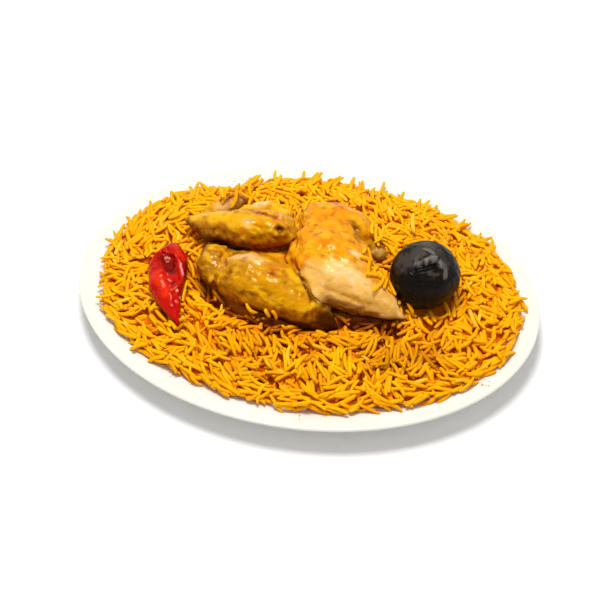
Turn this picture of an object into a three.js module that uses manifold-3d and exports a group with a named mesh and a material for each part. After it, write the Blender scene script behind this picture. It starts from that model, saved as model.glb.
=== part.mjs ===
// An oval plate of spiced basmati rice with half a chicken, a black dried lime and a red chilli on it.
// Millimetres, +Z up. The origin is the middle of the plate's foot, on the table. +X runs along the
// plate's length, and -Y is the eater's side.
import * as THREE from "three";
import { mergeVertices } from "three/addons/utils/BufferGeometryUtils.js";
import { ImprovedNoise } from "three/addons/math/ImprovedNoise.js";
import Module from "manifold-3d";

const wasm = await Module();
wasm.setup();

// Driving dimensions ------------------------------------------------------------------------------

const plate = {
  halfLength: 155,
  halfWidth: 114,
  floor: 6.5, // top of the well's floor
  wallRise: 11, // from the floor to the inner edge of the rim
  wallFoot: 46, // insets from the plate's edge, all round
  wallTop: 21,
  rimRise: 5.5, // from the inner edge of the rim to its lip
  thickness: 3.6,
  baseUnder: 1.8, // the base's underside, inside the foot ring
  footOuter: 44,
  footInner: 48,
  segments: 64,
};

const heap = {
  middle: [1.5, 1],
  halfLength: 141,
  halfWidth: 99,
  edge: 20.5, // height of the heap's edge above the table
  edgeDepth: 1.6, // least depth of rice, at the edge
  crown: 35,
  ragged: 2.6, // how far the edge wanders in and out
  edgePoints: 92,
  grainLength: 11,
  grainRelief: 1.3,
  grainSpacing: 4.1, // least distance between two grains' points
  hollowSpacing: 3.5,
  plateGap: 0.6,
  underRings: [21, 27, 36, 49], // insets of the rings that the underside is drawn through
};

const nestGap = 0.5; // between a topping and the rice that it lies in
const unevenness = 2.2; // of the chicken's and the chilli's skin
const lime = { middle: [77, 2.5, 51], radius: 22.4 };

// Small helpers -----------------------------------------------------------------------------------

const wobble = new ImprovedNoise();
const smooth = (t) => t * t * (3 - 2 * t);
const clamp = (t) => Math.min(1, Math.max(0, t));

function seededRandom(seed) {
  let state = seed;
  return () => {
    state = (state + 0x6d2b79f5) | 0;
    let t = Math.imul(state ^ (state >>> 15), 1 | state);
    t = (t + Math.imul(t ^ (t >>> 7), 61 | t)) ^ t;
    return ((t ^ (t >>> 14)) >>> 0) / 2 ** 32;
  };
}

function toSolid(geometry) {
  const bare = geometry.clone();
  bare.deleteAttribute("normal");
  bare.deleteAttribute("uv");
  const merged = mergeVertices(bare, 1e-3);
  return new wasm.Manifold(
    new wasm.Mesh({
      numProp: 3,
      vertProperties: merged.attributes.position.array,
      triVerts: new Uint32Array(merged.index.array),
    }),
  );
}

function toGeometry(solid) {
  const mesh = solid.getMesh();
  const geometry = new THREE.BufferGeometry();
  geometry.setAttribute("position", new THREE.BufferAttribute(mesh.vertProperties, 3));
  geometry.setIndex(new THREE.BufferAttribute(mesh.triVerts, 1));
  geometry.computeVertexNormals();
  return geometry;
}

// The largest body of a solid: loose scraps and sealed hollows are left behind.
function mainBody(solid) {
  return solid.decompose().reduce((a, b) => (b.volume() > a.volume() ? b : a));
}

function moveVertices(geometry, move) {
  const position = geometry.attributes.position;
  const point = new THREE.Vector3();
  for (let i = 0; i < position.count; i++) {
    move(point.fromBufferAttribute(position, i));
    position.setXYZ(i, point.x, point.y, point.z);
  }
  return geometry;
}

// Pushes a point about by smooth noise, as far as amount, over lumps of about the given size.
function unevenPoint(point, amount, lump) {
  const [x, y, z] = [point.x / lump, point.y / lump, point.z / lump];
  point.x += amount * wobble.noise(x, y, z);
  point.y += amount * wobble.noise(y + 31.4, z, x);
  point.z += amount * wobble.noise(z, x + 57.2, y);
}

// A rounded limb: a sphere drawn out along a curve. Each station holds the middle line's x, y and z,
// and the half-width and half-depth there. A grown limb is larger all round, for cutting a nest.
function limb({ stations, around = 12, rings = 10, blunt = 0.5 }, grow = 0) {
  const line = new THREE.CatmullRomCurve3(stations.map(([x, y, z]) => new THREE.Vector3(x, y, z)));
  const size = new THREE.CatmullRomCurve3(stations.map((s) => new THREE.Vector3(s[3], s[4], 0)));
  return moveVertices(new THREE.SphereGeometry(1, around, rings), (point) => {
    const { x, y, z } = point;
    const share = (1 - Math.sign(y) * Math.abs(y) ** blunt) / 2;
    const ahead = line.getTangent(share);
    const side = new THREE.Vector3(-ahead.y, ahead.x, 0).normalize();
    const up = new THREE.Vector3().crossVectors(ahead, side);
    const half = size.getPoint(share);
    line.getPoint(share, point);
    point.addScaledVector(side, x * (half.x + grow));
    point.addScaledVector(up, z * (half.y + grow));
    unevenPoint(point, unevenness, 17);
    point.addScaledVector(ahead, -y * grow);
  });
}

// Plate -------------------------------------------------------------------------------------------

// Heights of the plate's upper and lower faces at an inset from its edge.
function plateTop(inset) {
  const wall = smooth(clamp((plate.wallFoot - inset) / (plate.wallFoot - plate.wallTop)));
  const rim = clamp((plate.wallTop - inset) / plate.wallTop);
  return plate.floor + plate.wallRise * wall + plate.rimRise * rim;
}

function plateUnder(inset) {
  return Math.max(plate.baseUnder, plateTop(inset) - plate.thickness);
}

// Half-axes of the oval at an inset. Inside the well the ovals shrink evenly to the middle.
function ovalAt(inset) {
  const even = plate.footInner;
  const left = clamp(1 - (inset - even) / (plate.halfWidth - even));
  const shrink = inset > even ? left : 1;
  const kept = Math.min(inset, even);
  return [(plate.halfLength - kept) * shrink, (plate.halfWidth - kept) * shrink];
}

function makePlate() {
  const lip = plateTop(0);
  const profile = [[plate.halfWidth, plate.floor]];
  for (const inset of [46, 41, 36, 30, 25, 21, 3]) profile.push([inset, plateTop(inset)]);
  profile.push([0.8, lip - 0.3], [0, lip - 1.4], [0.6, lip - 3]);
  for (const inset of [21, 28, 36, plate.footOuter - 2]) profile.push([inset, plateUnder(inset)]);
  profile.push([plate.footOuter, 0], [plate.footInner, 0]);
  profile.push([plate.footInner + 1.5, plate.baseUnder], [plate.halfWidth, plate.baseUnder]);
  profile.reverse();
  const outline = profile.map(([inset, z]) => new THREE.Vector2(plate.halfWidth - inset, z));
  const round = new THREE.LatheGeometry(outline, plate.segments);
  return moveVertices(round, (point) => {
    const radius = Math.hypot(point.x, point.z);
    const angle = Math.atan2(point.x, point.z);
    const [a, b] = ovalAt(plate.halfWidth - radius);
    point.set(a * Math.cos(angle), b * Math.sin(angle), point.y);
  });
}

// Chicken -----------------------------------------------------------------------------------------

// Half a chicken, skin side up: the breast in front, the folded wing behind it, the leg to the right.
const chickenLimbs = {
  breast: {
    stations: [
      [-58, -13, 40, 9, 9],
      [-44, -18, 44, 16.5, 15],
      [-25, -20.5, 45, 18.5, 17.5],
      [-4, -25, 40, 17.5, 16],
      [13, -31, 34, 12, 10],
      [28, -35, 30, 4, 4],
    ],
    around: 22,
    rings: 20,
  },
  shoulder: {
    stations: [
      [-67, 4, 41, 5, 5],
      [-61, -11, 43.5, 10.5, 10],
      [-56, -23, 39, 7, 7],
    ],
  },
  wing: {
    stations: [
      [-90, 25, 43, 3, 3],
      [-71, 20, 46, 10, 9],
      [-50, 19.5, 48, 13.5, 12.5],
      [-29, 21, 49, 14.5, 13.5],
      [-11, 23, 48, 12.5, 12],
    ],
    around: 20,
    rings: 18,
    blunt: 0.38,
  },
  wingBack: {
    stations: [
      [-78, 20, 43, 4.5, 4.5],
      [-70, 36, 43, 6, 5.5],
      [-61, 51, 40, 5.5, 5],
      [-52, 67, 35, 4, 4],
    ],
  },
  wingSkin: {
    stations: [
      [-60, 28, 46, 5, 5],
      [-43, 37, 48, 8, 7],
      [-26, 37, 47, 8, 7],
      [-12, 33, 45, 5, 5],
    ],
  },
  thigh: {
    stations: [
      [-13, 33, 42, 13, 12],
      [3, 33, 46, 19, 18],
      [22, 33, 45, 19, 17],
      [41, 32, 40, 11, 10],
    ],
    around: 20,
    rings: 16,
  },
  drumstick: {
    stations: [
      [3, 34, 44, 19, 16],
      [12, 8, 48, 26.5, 21],
      [26, -9, 47, 23, 20],
      [48, -18, 42.5, 12.5, 12],
      [70, -25, 36.5, 3.5, 3.5],
    ],
    around: 22,
    rings: 20,
  },
  back: {
    stations: [
      [-64, 6, 33, 10, 8],
      [-32, 3, 32, 22, 11],
      [8, 6, 33, 24, 12],
      [36, 8, 33, 12, 8],
    ],
    around: 16,
  },
  tail: {
    stations: [
      [33, 31, 41, 7, 7],
      [41, 26, 42, 6.5, 6],
      [48, 20, 42, 4.5, 4.5],
    ],
    around: 10,
    rings: 8,
  },
};

function chickenSolid(grow) {
  const parts = Object.values(chickenLimbs).map((shape) => toSolid(limb(shape, grow)));
  return mainBody(wasm.Manifold.union(parts));
}

// Lime --------------------------------------------------------------------------------------------

// A dried lime is a slightly uneven ball, with a crease across its upper face.
function limeSolid(grow) {
  const crease = new THREE.Vector3(0.22, -0.42, 0.88).normalize();
  const ball = new THREE.SphereGeometry(1, 21, 14).rotateX(Math.PI / 2);
  return toSolid(
    moveVertices(ball, (point) => {
      const off = point.distanceTo(crease);
      const dent = 1.5 * Math.exp(-((off / 0.3) ** 2));
      const lumps = 0.9 * wobble.noise(point.x * 1.3 + 4, point.y * 1.3, point.z * 1.3);
      point.multiplyScalar(lime.radius + lumps - dent + grow);
      point.add(new THREE.Vector3(...lime.middle));
    }),
  );
}

// Chilli ------------------------------------------------------------------------------------------

// A soft cooked red chilli, pointed at the front, with one cheek fallen in.
const chilliPod = {
  stations: [
    [-92, 7.5, 38, 9, 5],
    [-92, -10.5, 39, 13.5, 7],
    [-88, -28.5, 37.5, 12, 7],
    [-81, -43.5, 34.5, 7.5, 5],
    [-74, -55.5, 31.5, 1.8, 1.8],
  ],
  around: 16,
  rings: 14,
};
const chilliCheek = {
  stations: [
    [-101, 0, 48, 8, 7],
    [-94, -12, 47, 11.5, 8.5],
    [-86, -22, 45.5, 7, 6],
  ],
};

function chilliSolid(grow) {
  const pod = toSolid(limb(chilliPod, grow));
  return grow > 0 ? pod : mainBody(pod.subtract(toSolid(limb(chilliCheek))));
}

// Rice --------------------------------------------------------------------------------------------

// How far the heap's edge stands out at an angle, as a share of its oval.
function heapReach(angle) {
  const [c, s] = [Math.cos(angle), Math.sin(angle)];
  const broad = wobble.noise(2 * c + 9, 2 * s, 3.3);
  const fine = wobble.noise(14 * c, 14 * s, 8.1);
  return 1 + (heap.ragged * (broad + fine)) / heap.halfWidth;
}

function heapHeight(x, y) {
  const [middleX, middleY] = heap.middle;
  const out = Math.hypot((x - middleX) / heap.halfLength, (y - middleY) / heap.halfWidth);
  const dome = Math.max(0, 1 - out ** 2.6) ** 0.6;
  const lumps = 3.2 * wobble.noise(x / 34, y / 34, 0.5) * Math.min(1, 4 * (1 - out));
  return heap.edge + (heap.crown - heap.edge) * dome + lumps;
}

// The heap's surface points on its even oval: raised ridges of a grain's length that lie in all
// directions, with low points in the gaps between them.
function heapPoints() {
  const random = seededRandom(7);
  const inside = (x, y, margin) =>
    Math.hypot(x / (heap.halfLength - margin), y / (heap.halfWidth - margin)) < 1;
  const clear = (x, y, gap) => points.every((p) => Math.hypot(p.x - x, p.y - y) > gap);
  const points = [];
  for (let j = 0; j < heap.edgePoints; j++) {
    const angle = (2 * Math.PI * j) / heap.edgePoints;
    points.push({ x: heap.halfLength * Math.cos(angle), y: heap.halfWidth * Math.sin(angle), rise: 0 });
  }
  const anywhere = () => [
    (2 * random() - 1) * heap.halfLength,
    (2 * random() - 1) * heap.halfWidth,
  ];
  for (let tries = 0; tries < 9000; tries++) {
    const [x, y] = anywhere();
    const turn = Math.PI * random();
    const half = (heap.grainLength / 2) * (0.8 + 0.35 * random());
    const ridge = [-1, 0, 1].map((k) => [x + k * half * Math.cos(turn), y + k * half * Math.sin(turn)]);
    if (ridge.every(([px, py]) => inside(px, py, 4) && clear(px, py, heap.grainSpacing)))
      for (const [px, py] of ridge) points.push({ x: px, y: py, rise: heap.grainRelief });
  }
  for (let tries = 0; tries < 16000; tries++) {
    const [x, y] = anywhere();
    if (inside(x, y, 3) && clear(x, y, heap.hollowSpacing))
      points.push({ x, y, rise: -heap.grainRelief });
  }
  return points;
}

// Delaunay triangles of points in the plane, by inserting them one at a time.
function triangulate(points) {
  const far = 1e4;
  const all = [...points, { x: -far, y: -far }, { x: far, y: -far }, { x: 0, y: far }];
  const edgeName = (a, b) => `${a} ${b}`;
  const count = points.length;
  const triangle = (a, b, c) => {
    const [p, q, r] = [all[a], all[b], all[c]];
    const d = 2 * (p.x * (q.y - r.y) + q.x * (r.y - p.y) + r.x * (p.y - q.y));
    const [pp, qq, rr] = [p, q, r].map((v) => v.x * v.x + v.y * v.y);
    const x = (pp * (q.y - r.y) + qq * (r.y - p.y) + rr * (p.y - q.y)) / d;
    const y = (pp * (r.x - q.x) + qq * (p.x - r.x) + rr * (q.x - p.x)) / d;
    return { corners: [a, b, c], x, y, reach: Math.hypot(p.x - x, p.y - y) };
  };
  let triangles = [triangle(count, count + 1, count + 2)];
  for (let i = 0; i < count; i++) {
    const edges = new Map();
    const kept = [];
    for (const t of triangles) {
      if (Math.hypot(all[i].x - t.x, all[i].y - t.y) >= t.reach) {
        kept.push(t);
        continue;
      }
      t.corners.forEach((a, k) => {
        const b = t.corners[(k + 1) % 3];
        if (!edges.delete(edgeName(b, a))) edges.set(edgeName(a, b), [a, b]);
      });
    }
    for (const [a, b] of edges.values()) kept.push(triangle(a, b, i));
    triangles = kept;
  }
  return triangles.map((t) => t.corners).filter((corners) => corners.every((k) => k < count));
}

// The inset, from the plate's edge, of the oval through a point.
function insetOf([x, y]) {
  let [low, high] = [0, plate.halfWidth];
  for (let k = 0; k < 30; k++) {
    const middle = (low + high) / 2;
    const [a, b] = ovalAt(middle);
    if (Math.hypot(x / a, y / b) < 1) low = middle;
    else high = middle;
  }
  return low;
}

function heapSurface(points) {
  return points.map(({ x, y, rise }) => {
    const out = Math.hypot(x / heap.halfLength, y / heap.halfWidth);
    const angle = Math.atan2(y / heap.halfWidth, x / heap.halfLength);
    const stretch = 1 + (heapReach(angle) - 1) * out ** 6;
    const [px, py] = [heap.middle[0] + x * stretch, heap.middle[1] + y * stretch];
    const least = plateTop(insetOf([px, py])) + heap.edgeDepth;
    return [px, py, Math.max(least, heapHeight(px, py) + rise)];
  });
}

// Rings of points under the heap, just clear of the plate, one point below each of its edge points.
function heapUnderside(edge) {
  const insets = edge.map(insetOf);
  const ring = (insetAt) =>
    edge.map(([x, y], j) => {
      const [a, b] = ovalAt(insets[j]);
      const angle = Math.atan2(y / b, x / a);
      const [aHere, bHere] = ovalAt(insetAt(j));
      const z = plateTop(insetAt(j)) + heap.plateGap;
      return [aHere * Math.cos(angle), bHere * Math.sin(angle), z];
    });
  return [ring((j) => insets[j]), ...heap.underRings.map((inset) => ring(() => inset))];
}

function makeRice(nests) {
  const flat = heapPoints();
  const faces = triangulate(flat);
  const corners = heapSurface(flat);
  const count = heap.edgePoints;
  let above = 0;
  for (const ring of heapUnderside(corners.slice(0, count))) {
    const below = corners.length;
    corners.push(...ring);
    for (let j = 0; j < count; j++) {
      const next = (j + 1) % count;
      faces.push([above + j, below + j, above + next], [above + next, below + j, below + next]);
    }
    above = below;
  }
  const middle = corners.push([0, 0, plate.floor + heap.plateGap]) - 1;
  for (let j = 0; j < count; j++) faces.push([above + ((j + 1) % count), above + j, middle]);
  const geometry = new THREE.BufferGeometry();
  geometry.setAttribute("position", new THREE.Float32BufferAttribute(corners.flat(), 3));
  geometry.setIndex(faces.flat());
  return nests.reduce((rice, nest) => mainBody(rice.subtract(nest)), toSolid(geometry));
}

// The whole plate ---------------------------------------------------------------------------------

function part(name, geometry, color, roughness) {
  const material = new THREE.MeshStandardMaterial({ color, roughness, metalness: 0 });
  const mesh = new THREE.Mesh(geometry, material);
  mesh.name = name;
  return mesh;
}

const nests = [chickenSolid(nestGap), limeSolid(nestGap), chilliSolid(nestGap)];

const plateOfChickenMadghout = new THREE.Group();
plateOfChickenMadghout.add(
  part("plate", makePlate(), 0xf6f4ee, 0.25),
  part("rice_heap", toGeometry(makeRice(nests)), 0xffb010, 0.5),
  part("half_chicken", toGeometry(chickenSolid(0)), 0xdc9a2c, 0.35),
  part("dried_lime", toGeometry(limeSolid(0)), 0x1c1816, 0.35),
  part("red_chilli", toGeometry(chilliSolid(0)), 0xd0140c, 0.25),
);

export default plateOfChickenMadghout;
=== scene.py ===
import math
import bpy
import numpy as np
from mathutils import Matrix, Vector, noise
from mathutils.bvhtree import BVHTree


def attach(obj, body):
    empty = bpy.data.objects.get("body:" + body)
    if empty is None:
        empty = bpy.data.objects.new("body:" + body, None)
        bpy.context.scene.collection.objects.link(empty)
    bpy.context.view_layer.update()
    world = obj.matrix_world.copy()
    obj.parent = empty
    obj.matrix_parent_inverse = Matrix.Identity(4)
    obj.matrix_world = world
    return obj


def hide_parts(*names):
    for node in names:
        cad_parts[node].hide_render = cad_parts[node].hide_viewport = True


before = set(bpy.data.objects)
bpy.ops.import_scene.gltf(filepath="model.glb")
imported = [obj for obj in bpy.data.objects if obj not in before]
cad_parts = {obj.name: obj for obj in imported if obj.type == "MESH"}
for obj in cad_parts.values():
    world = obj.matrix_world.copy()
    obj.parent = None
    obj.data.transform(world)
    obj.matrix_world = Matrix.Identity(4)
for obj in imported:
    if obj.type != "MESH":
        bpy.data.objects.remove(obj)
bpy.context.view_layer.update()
scene = bpy.context.scene
mm = 0.001
print("stage: frame loaded")


def linear(red, green, blue):
    # screen colour, 0 to 255, to the light values that shaders use
    values = []
    for value in (red, green, blue):
        share = value / 255
        values.append(share / 12.92 if share < 0.04045 else ((share + 0.055) / 1.055) ** 2.4)
    return (*values, 1.0)


def smoothStep(low, high, value):
    share = np.clip((value - low) / (high - low), 0, 1)
    return share * share * (3 - 2 * share)


def noiseAt(points, size, seed=0.0):
    # smooth noise, about -1 to 1, over lumps of the given size; points and size are in mm
    shift = Vector((seed * 17.3, seed * 5.1, seed * 29.7))
    return np.array([noise.noise(Vector(p) / size + shift) for p in points])


def lumpsAt(points, layers):
    # layers of noise: height, size of the lumps, and seed
    return sum(height * noiseAt(points, size, seed) for height, size, seed in layers)


def addObject(name, data):
    thing = bpy.data.objects.new(name, data)
    scene.collection.objects.link(thing)
    return thing


def dress(piece, material, nodeName):
    piece.data.materials.clear()
    piece.data.materials.append(material)
    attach(piece, "root")
    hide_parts(nodeName)
    return piece


def meshPiece(name, points, faces, material, nodeName):
    # points in mm, in the CAD frame
    mesh = bpy.data.meshes.new(name)
    mesh.from_pydata((np.asarray(points, float) * mm).tolist(), [], faces)
    mesh.update()
    mesh.polygons.foreach_set("use_smooth", [True] * len(mesh.polygons))
    return dress(addObject(name, mesh), material, nodeName)


def addAttribute(piece, name, values):
    layer = piece.data.attributes.new(name, "FLOAT", "POINT")
    layer.data.foreach_set("value", np.asarray(values, np.float32))


def pointsOf(piece):
    flat = np.empty(len(piece.data.vertices) * 3)
    piece.data.vertices.foreach_get("co", flat)
    return flat.reshape(-1, 3) / mm


def normalsOf(piece):
    flat = np.empty(len(piece.data.vertices) * 3)
    piece.data.vertex_normals.foreach_get("vector", flat)
    return flat.reshape(-1, 3)


def placePoints(piece, points):
    piece.data.vertices.foreach_set("co", (points * mm).ravel())
    piece.data.update()


def startMaterial(name):
    material = bpy.data.materials.new(name)
    material.use_nodes = True
    tree = material.node_tree
    shader = next(n for n in tree.nodes if n.type == "BSDF_PRINCIPLED")
    return material, tree, shader


def setInputs(shader, values):
    for label, value in values.items():
        shader.inputs[label].default_value = value


def addNode(tree, kind, **settings):
    node = tree.nodes.new("ShaderNode" + kind)
    for key, value in settings.items():
        setattr(node, key, value)
    return node


def feed(tree, socket, value):
    if hasattr(value, "links"):
        tree.links.new(value, socket)
    else:
        socket.default_value = value


def blendColors(tree, share, first, second):
    node = addNode(tree, "Mix", data_type="RGBA")
    feed(tree, node.inputs[0], share)
    feed(tree, node.inputs[6], first)
    feed(tree, node.inputs[7], second)
    return node.outputs[2]


def mathNode(tree, operation, first, second):
    node = addNode(tree, "Math", operation=operation)
    feed(tree, node.inputs[0], first)
    feed(tree, node.inputs[1], second)
    return node.outputs[0]


def remap(tree, value, low, high, toLow=0.0, toHigh=1.0):
    node = addNode(tree, "MapRange", interpolation_type="SMOOTHSTEP")
    for socket, item in zip(node.inputs, (value, low, high, toLow, toHigh)):
        feed(tree, socket, item)
    return node.outputs[0]


def readAttribute(tree, name):
    return addNode(tree, "Attribute", attribute_name=name).outputs["Fac"]


def bumpInto(tree, shader, height, strength, distance):
    node = addNode(tree, "Bump")
    setInputs(node, {"Strength": strength, "Distance": distance * mm})
    feed(tree, node.inputs["Height"], height)
    feed(tree, shader.inputs["Normal"], node.outputs[0])


def startGroup(name, inputs, outputs):
    group = bpy.data.node_groups.new(name, "ShaderNodeTree")
    for label, start in inputs:
        socket = group.interface.new_socket(label, in_out="INPUT", socket_type="NodeSocketFloat")
        socket.default_value = start
    for label in outputs:
        group.interface.new_socket(label, in_out="OUTPUT", socket_type="NodeSocketFloat")
    return group, group.nodes.new("NodeGroupInput"), group.nodes.new("NodeGroupOutput")


def useGroup(tree, group, **values):
    node = tree.nodes.new("ShaderNodeGroup")
    node.node_tree = group
    for label, value in values.items():
        feed(tree, node.inputs[label], value)
    return node.outputs


def makeMottleGroup():
    # soft uneven patches: Patches is broad, Flecks is fine
    group, given, out = startGroup("mottle", [("Size", 10.0), ("Seed", 0.0)], ["Patches", "Flecks"])
    place = addNode(group, "TexCoord").outputs["Object"]
    scale = mathNode(group, "DIVIDE", 1000.0, given.outputs["Size"])
    # output, how much finer than the patches, detail, and the range of noise that it takes
    layers = (("Patches", 1.0, 3.0, 0.36, 0.64), ("Flecks", 4.5, 2.0, 0.5, 0.72))
    for label, times, detail, low, high in layers:
        cloud = addNode(group, "TexNoise", noise_dimensions="4D")
        feed(group, cloud.inputs["Vector"], place)
        feed(group, cloud.inputs["W"], given.outputs["Seed"])
        feed(group, cloud.inputs["Scale"], mathNode(group, "MULTIPLY", scale, times))
        cloud.inputs["Detail"].default_value = detail
        feed(group, out.inputs[label], remap(group, cloud.outputs["Fac"], low, high))
    return group


def makeSkinGroup():
    # fine relief: little pores and wrinkles, as a height from 0 to 1
    group, given, out = startGroup("fineSkin", [("Size", 2.0)], ["Height"])
    place = addNode(group, "TexCoord").outputs["Object"]
    scale = mathNode(group, "DIVIDE", 1000.0, given.outputs["Size"])
    cells = addNode(group, "TexVoronoi", feature="SMOOTH_F1")
    feed(group, cells.inputs["Vector"], place)
    feed(group, cells.inputs["Scale"], scale)
    wrinkles = addNode(group, "TexNoise")
    feed(group, wrinkles.inputs["Vector"], place)
    feed(group, wrinkles.inputs["Scale"], mathNode(group, "MULTIPLY", scale, 0.45))
    wrinkles.inputs["Detail"].default_value = 4.0
    wrinkles.inputs["Distortion"].default_value = 1.2
    pores = mathNode(group, "MULTIPLY", cells.outputs["Distance"], 0.35)
    feed(group, out.inputs["Height"], mathNode(group, "ADD", pores, wrinkles.outputs["Fac"]))
    return group


mottle = makeMottleGroup()
fineSkin = makeSkinGroup()
print("stage: shared node groups made")


cameraLook = {
    "target": (-6.49, 7.73, 0),  # mm
    "distance": 1000,
    "azimuth": 11.906,
    "elevation": 49.5,
    "lens": 87.84,
    "sensor": 36,
    "clip": (0.05, 20),  # m
}


def makeCamera():
    data = bpy.data.cameras.new("camera")
    data.lens = cameraLook["lens"]
    data.sensor_width = cameraLook["sensor"]
    data.clip_start, data.clip_end = cameraLook["clip"]
    camera = addObject("camera", data)
    turn, rise = math.radians(cameraLook["azimuth"]), math.radians(cameraLook["elevation"])
    back = Vector((math.sin(turn) * math.cos(rise), -math.cos(turn) * math.cos(rise), math.sin(rise)))
    camera.location = (Vector(cameraLook["target"]) + back * cameraLook["distance"]) * mm
    camera.rotation_mode = "QUATERNION"
    camera.rotation_quaternion = (-back).to_track_quat("-Z", "Y")
    scene.camera = camera


lights = {
    "key": {"place": (-60, 50, 985), "size": 380, "power": 8.7, "color": (1.0, 0.985, 0.96)},
    "fill": {"place": (300, -500, 900), "size": 600, "power": 0.5, "color": (1.0, 1.0, 1.0)},
    "room": 0.47,
}


def makeLights():
    for name in ("key", "fill"):
        values = lights[name]
        data = bpy.data.lights.new(name, "AREA")
        data.shape = "DISK"
        data.size = values["size"] * mm
        data.energy = values["power"]
        data.color = values["color"]
        lamp = addObject(name, data)
        lamp.location = Vector(values["place"]) * mm
        lamp.rotation_euler = (-Vector(values["place"])).to_track_quat("-Z", "Y").to_euler()
    world = bpy.data.worlds.new("room")
    world.use_nodes = True
    backdrop = world.node_tree.nodes["Background"]
    backdrop.inputs["Color"].default_value = (1, 1, 1, 1)
    backdrop.inputs["Strength"].default_value = lights["room"]
    scene.world = world
    scene.view_settings.view_transform = "Standard"


floorLook = {
    "pale": (0.96, 0.96, 0.96, 1),
    "paler": (0.98, 0.98, 0.98, 1),
    "roughness": 0.6,
    "reach": 4.0,  # m
    "drop": 0.0002,  # m, below the plate's foot
}


def makeFloor():
    material, tree, shader = startMaterial("paleFloor")
    patches = useGroup(tree, mottle, Size=60.0, Seed=3.0)["Patches"]
    color = blendColors(tree, patches, floorLook["pale"], floorLook["paler"])
    feed(tree, shader.inputs["Base Color"], color)
    setInputs(shader, {"Roughness": floorLook["roughness"]})
    mesh = bpy.data.meshes.new("floor")
    reach = floorLook["reach"]
    corners = [(-reach, -reach, 0), (reach, -reach, 0), (reach, reach, 0), (-reach, reach, 0)]
    mesh.from_pydata(corners, [], [(0, 1, 2, 3)])
    mesh.materials.append(material)
    floor = addObject("floor", mesh)
    floor.location.z = -floorLook["drop"]


makeCamera()
makeLights()
makeFloor()
print("stage: camera, lights and floor made")


plate = {
    "halfLength": 155,
    "halfWidth": 114,
    "floor": 6.5,
    "wallRise": 11,
    "wallFoot": 46,  # insets from the edge
    "wallTop": 21,
    "rimRise": 5.5,
    "thickness": 3.6,
    "baseUnder": 1.8,
    "footInner": 48,
    "segments": 240,
    "glaze": linear(237, 236, 231),
    "glazeShade": linear(232, 230, 223),
    "lip": linear(240, 235, 218),
    "lipWidth": 6.0,
    "lipTint": 0.7,
    "roughness": (0.16, 0.24),
    "ripple": (0.25, 0.15),  # strength of the bump, and its height in mm
    "finish": {"Coat Weight": 0.5, "Coat Roughness": 0.08},
}


def plateTop(inset):
    wall = smoothStep(0, 1, (plate["wallFoot"] - inset) / (plate["wallFoot"] - plate["wallTop"]))
    rim = np.clip((plate["wallTop"] - inset) / plate["wallTop"], 0, 1)
    return plate["floor"] + plate["wallRise"] * wall + plate["rimRise"] * rim


def plateUnder(inset):
    return np.maximum(plate["baseUnder"], plateTop(inset) - plate["thickness"])


def ovalAt(inset):
    even = plate["footInner"]
    shrink = np.clip(1 - (inset - even) / (plate["halfWidth"] - even), 0, 1)
    kept = np.minimum(inset, even)
    return (plate["halfLength"] - kept) * shrink, (plate["halfWidth"] - kept) * shrink


def insetOf(x, y):
    low, high = np.zeros_like(x), np.full_like(x, plate["halfWidth"] - 0.01)
    for _ in range(24):
        middle = (low + high) / 2
        a, b = ovalAt(middle)
        within = (x / a) ** 2 + (y / b) ** 2 < 1
        low, high = np.where(within, middle, low), np.where(within, high, middle)
    return low


def makePlateMaterial():
    material, tree, shader = startMaterial("plateGlaze")
    cloud = useGroup(tree, mottle, Size=45.0, Seed=1.0)
    color = blendColors(tree, cloud["Patches"], plate["glaze"], plate["glazeShade"])
    color = blendColors(tree, readAttribute(tree, "lip"), color, plate["lip"])
    feed(tree, shader.inputs["Base Color"], color)
    feed(tree, shader.inputs["Roughness"], remap(tree, cloud["Flecks"], 0.0, 1.0, *plate["roughness"]))
    setInputs(shader, plate["finish"])
    ripple = useGroup(tree, mottle, Size=14.0, Seed=2.0)["Patches"]
    bumpInto(tree, shader, ripple, *plate["ripple"])
    return material


def plateProfile():
    # inset from the edge and height, from the well, over the lip, to the foot ring and the base
    lip = plateTop(0)
    insets = (80, 60, 50, 48, 46, 44, *np.arange(43, 22, -1.5), 22)
    profile = [(inset, plateTop(inset)) for inset in insets]
    profile.append((21, plateTop(21) - 0.05))
    profile += [(inset, plateTop(inset)) for inset in (20, 16, 12, 8, 5, 3)]
    rounding = ((1.8, 0.38), (0.8, 0.45), (0.25, 0.9), (0, 1.6), (0.2, 2.4), (0.9, 3.2))
    profile += [(inset, lip - drop) for inset, drop in rounding]
    profile += [(inset, plateUnder(inset) - 0.05) for inset in (3, 8, 14, 20, 24, 28, 32, 36, 39)]
    profile += [(42, plateUnder(42)), (42.8, 1.2), (43.4, 0.4), (44.4, 0), (47.4, 0)]
    base = plate["baseUnder"]
    return profile + [(48.3, 0.5), (49, 1.3), (50, base), (60, base), (80, base)]


def makePlate():
    profile = plateProfile()
    count = plate["segments"]
    turn = 2 * np.pi * np.arange(count) / count
    points, lipShare = [], []
    for inset, z in profile:
        a, b = ovalAt(inset)
        points += np.column_stack((a * np.cos(turn), b * np.sin(turn), np.full(count, float(z)))).tolist()
        near = float(smoothStep(plate["lipWidth"] + 2, plate["lipWidth"] - 2, inset))
        lipShare += [near * plate["lipTint"]] * count
    faces = []
    for ring in range(len(profile) - 1):
        for j in range(count):
            nxt = (j + 1) % count
            here, below = ring * count, (ring + 1) * count
            faces.append((here + j, below + j, below + nxt, here + nxt))
    top, bottom = len(points), len(points) + 1
    points += [[0, 0, plate["floor"]], [0, 0, plate["baseUnder"]]]
    lipShare += [0, 0]
    last = (len(profile) - 1) * count
    for j in range(count):
        nxt = (j + 1) % count
        faces.append((top, j, nxt))
        faces.append((bottom, last + nxt, last + j))
    piece = meshPiece("ovalPlate", points, faces, makePlateMaterial(), "plate")
    addAttribute(piece, "lip", lipShare)


makePlate()
print("stage: plate made")


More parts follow.
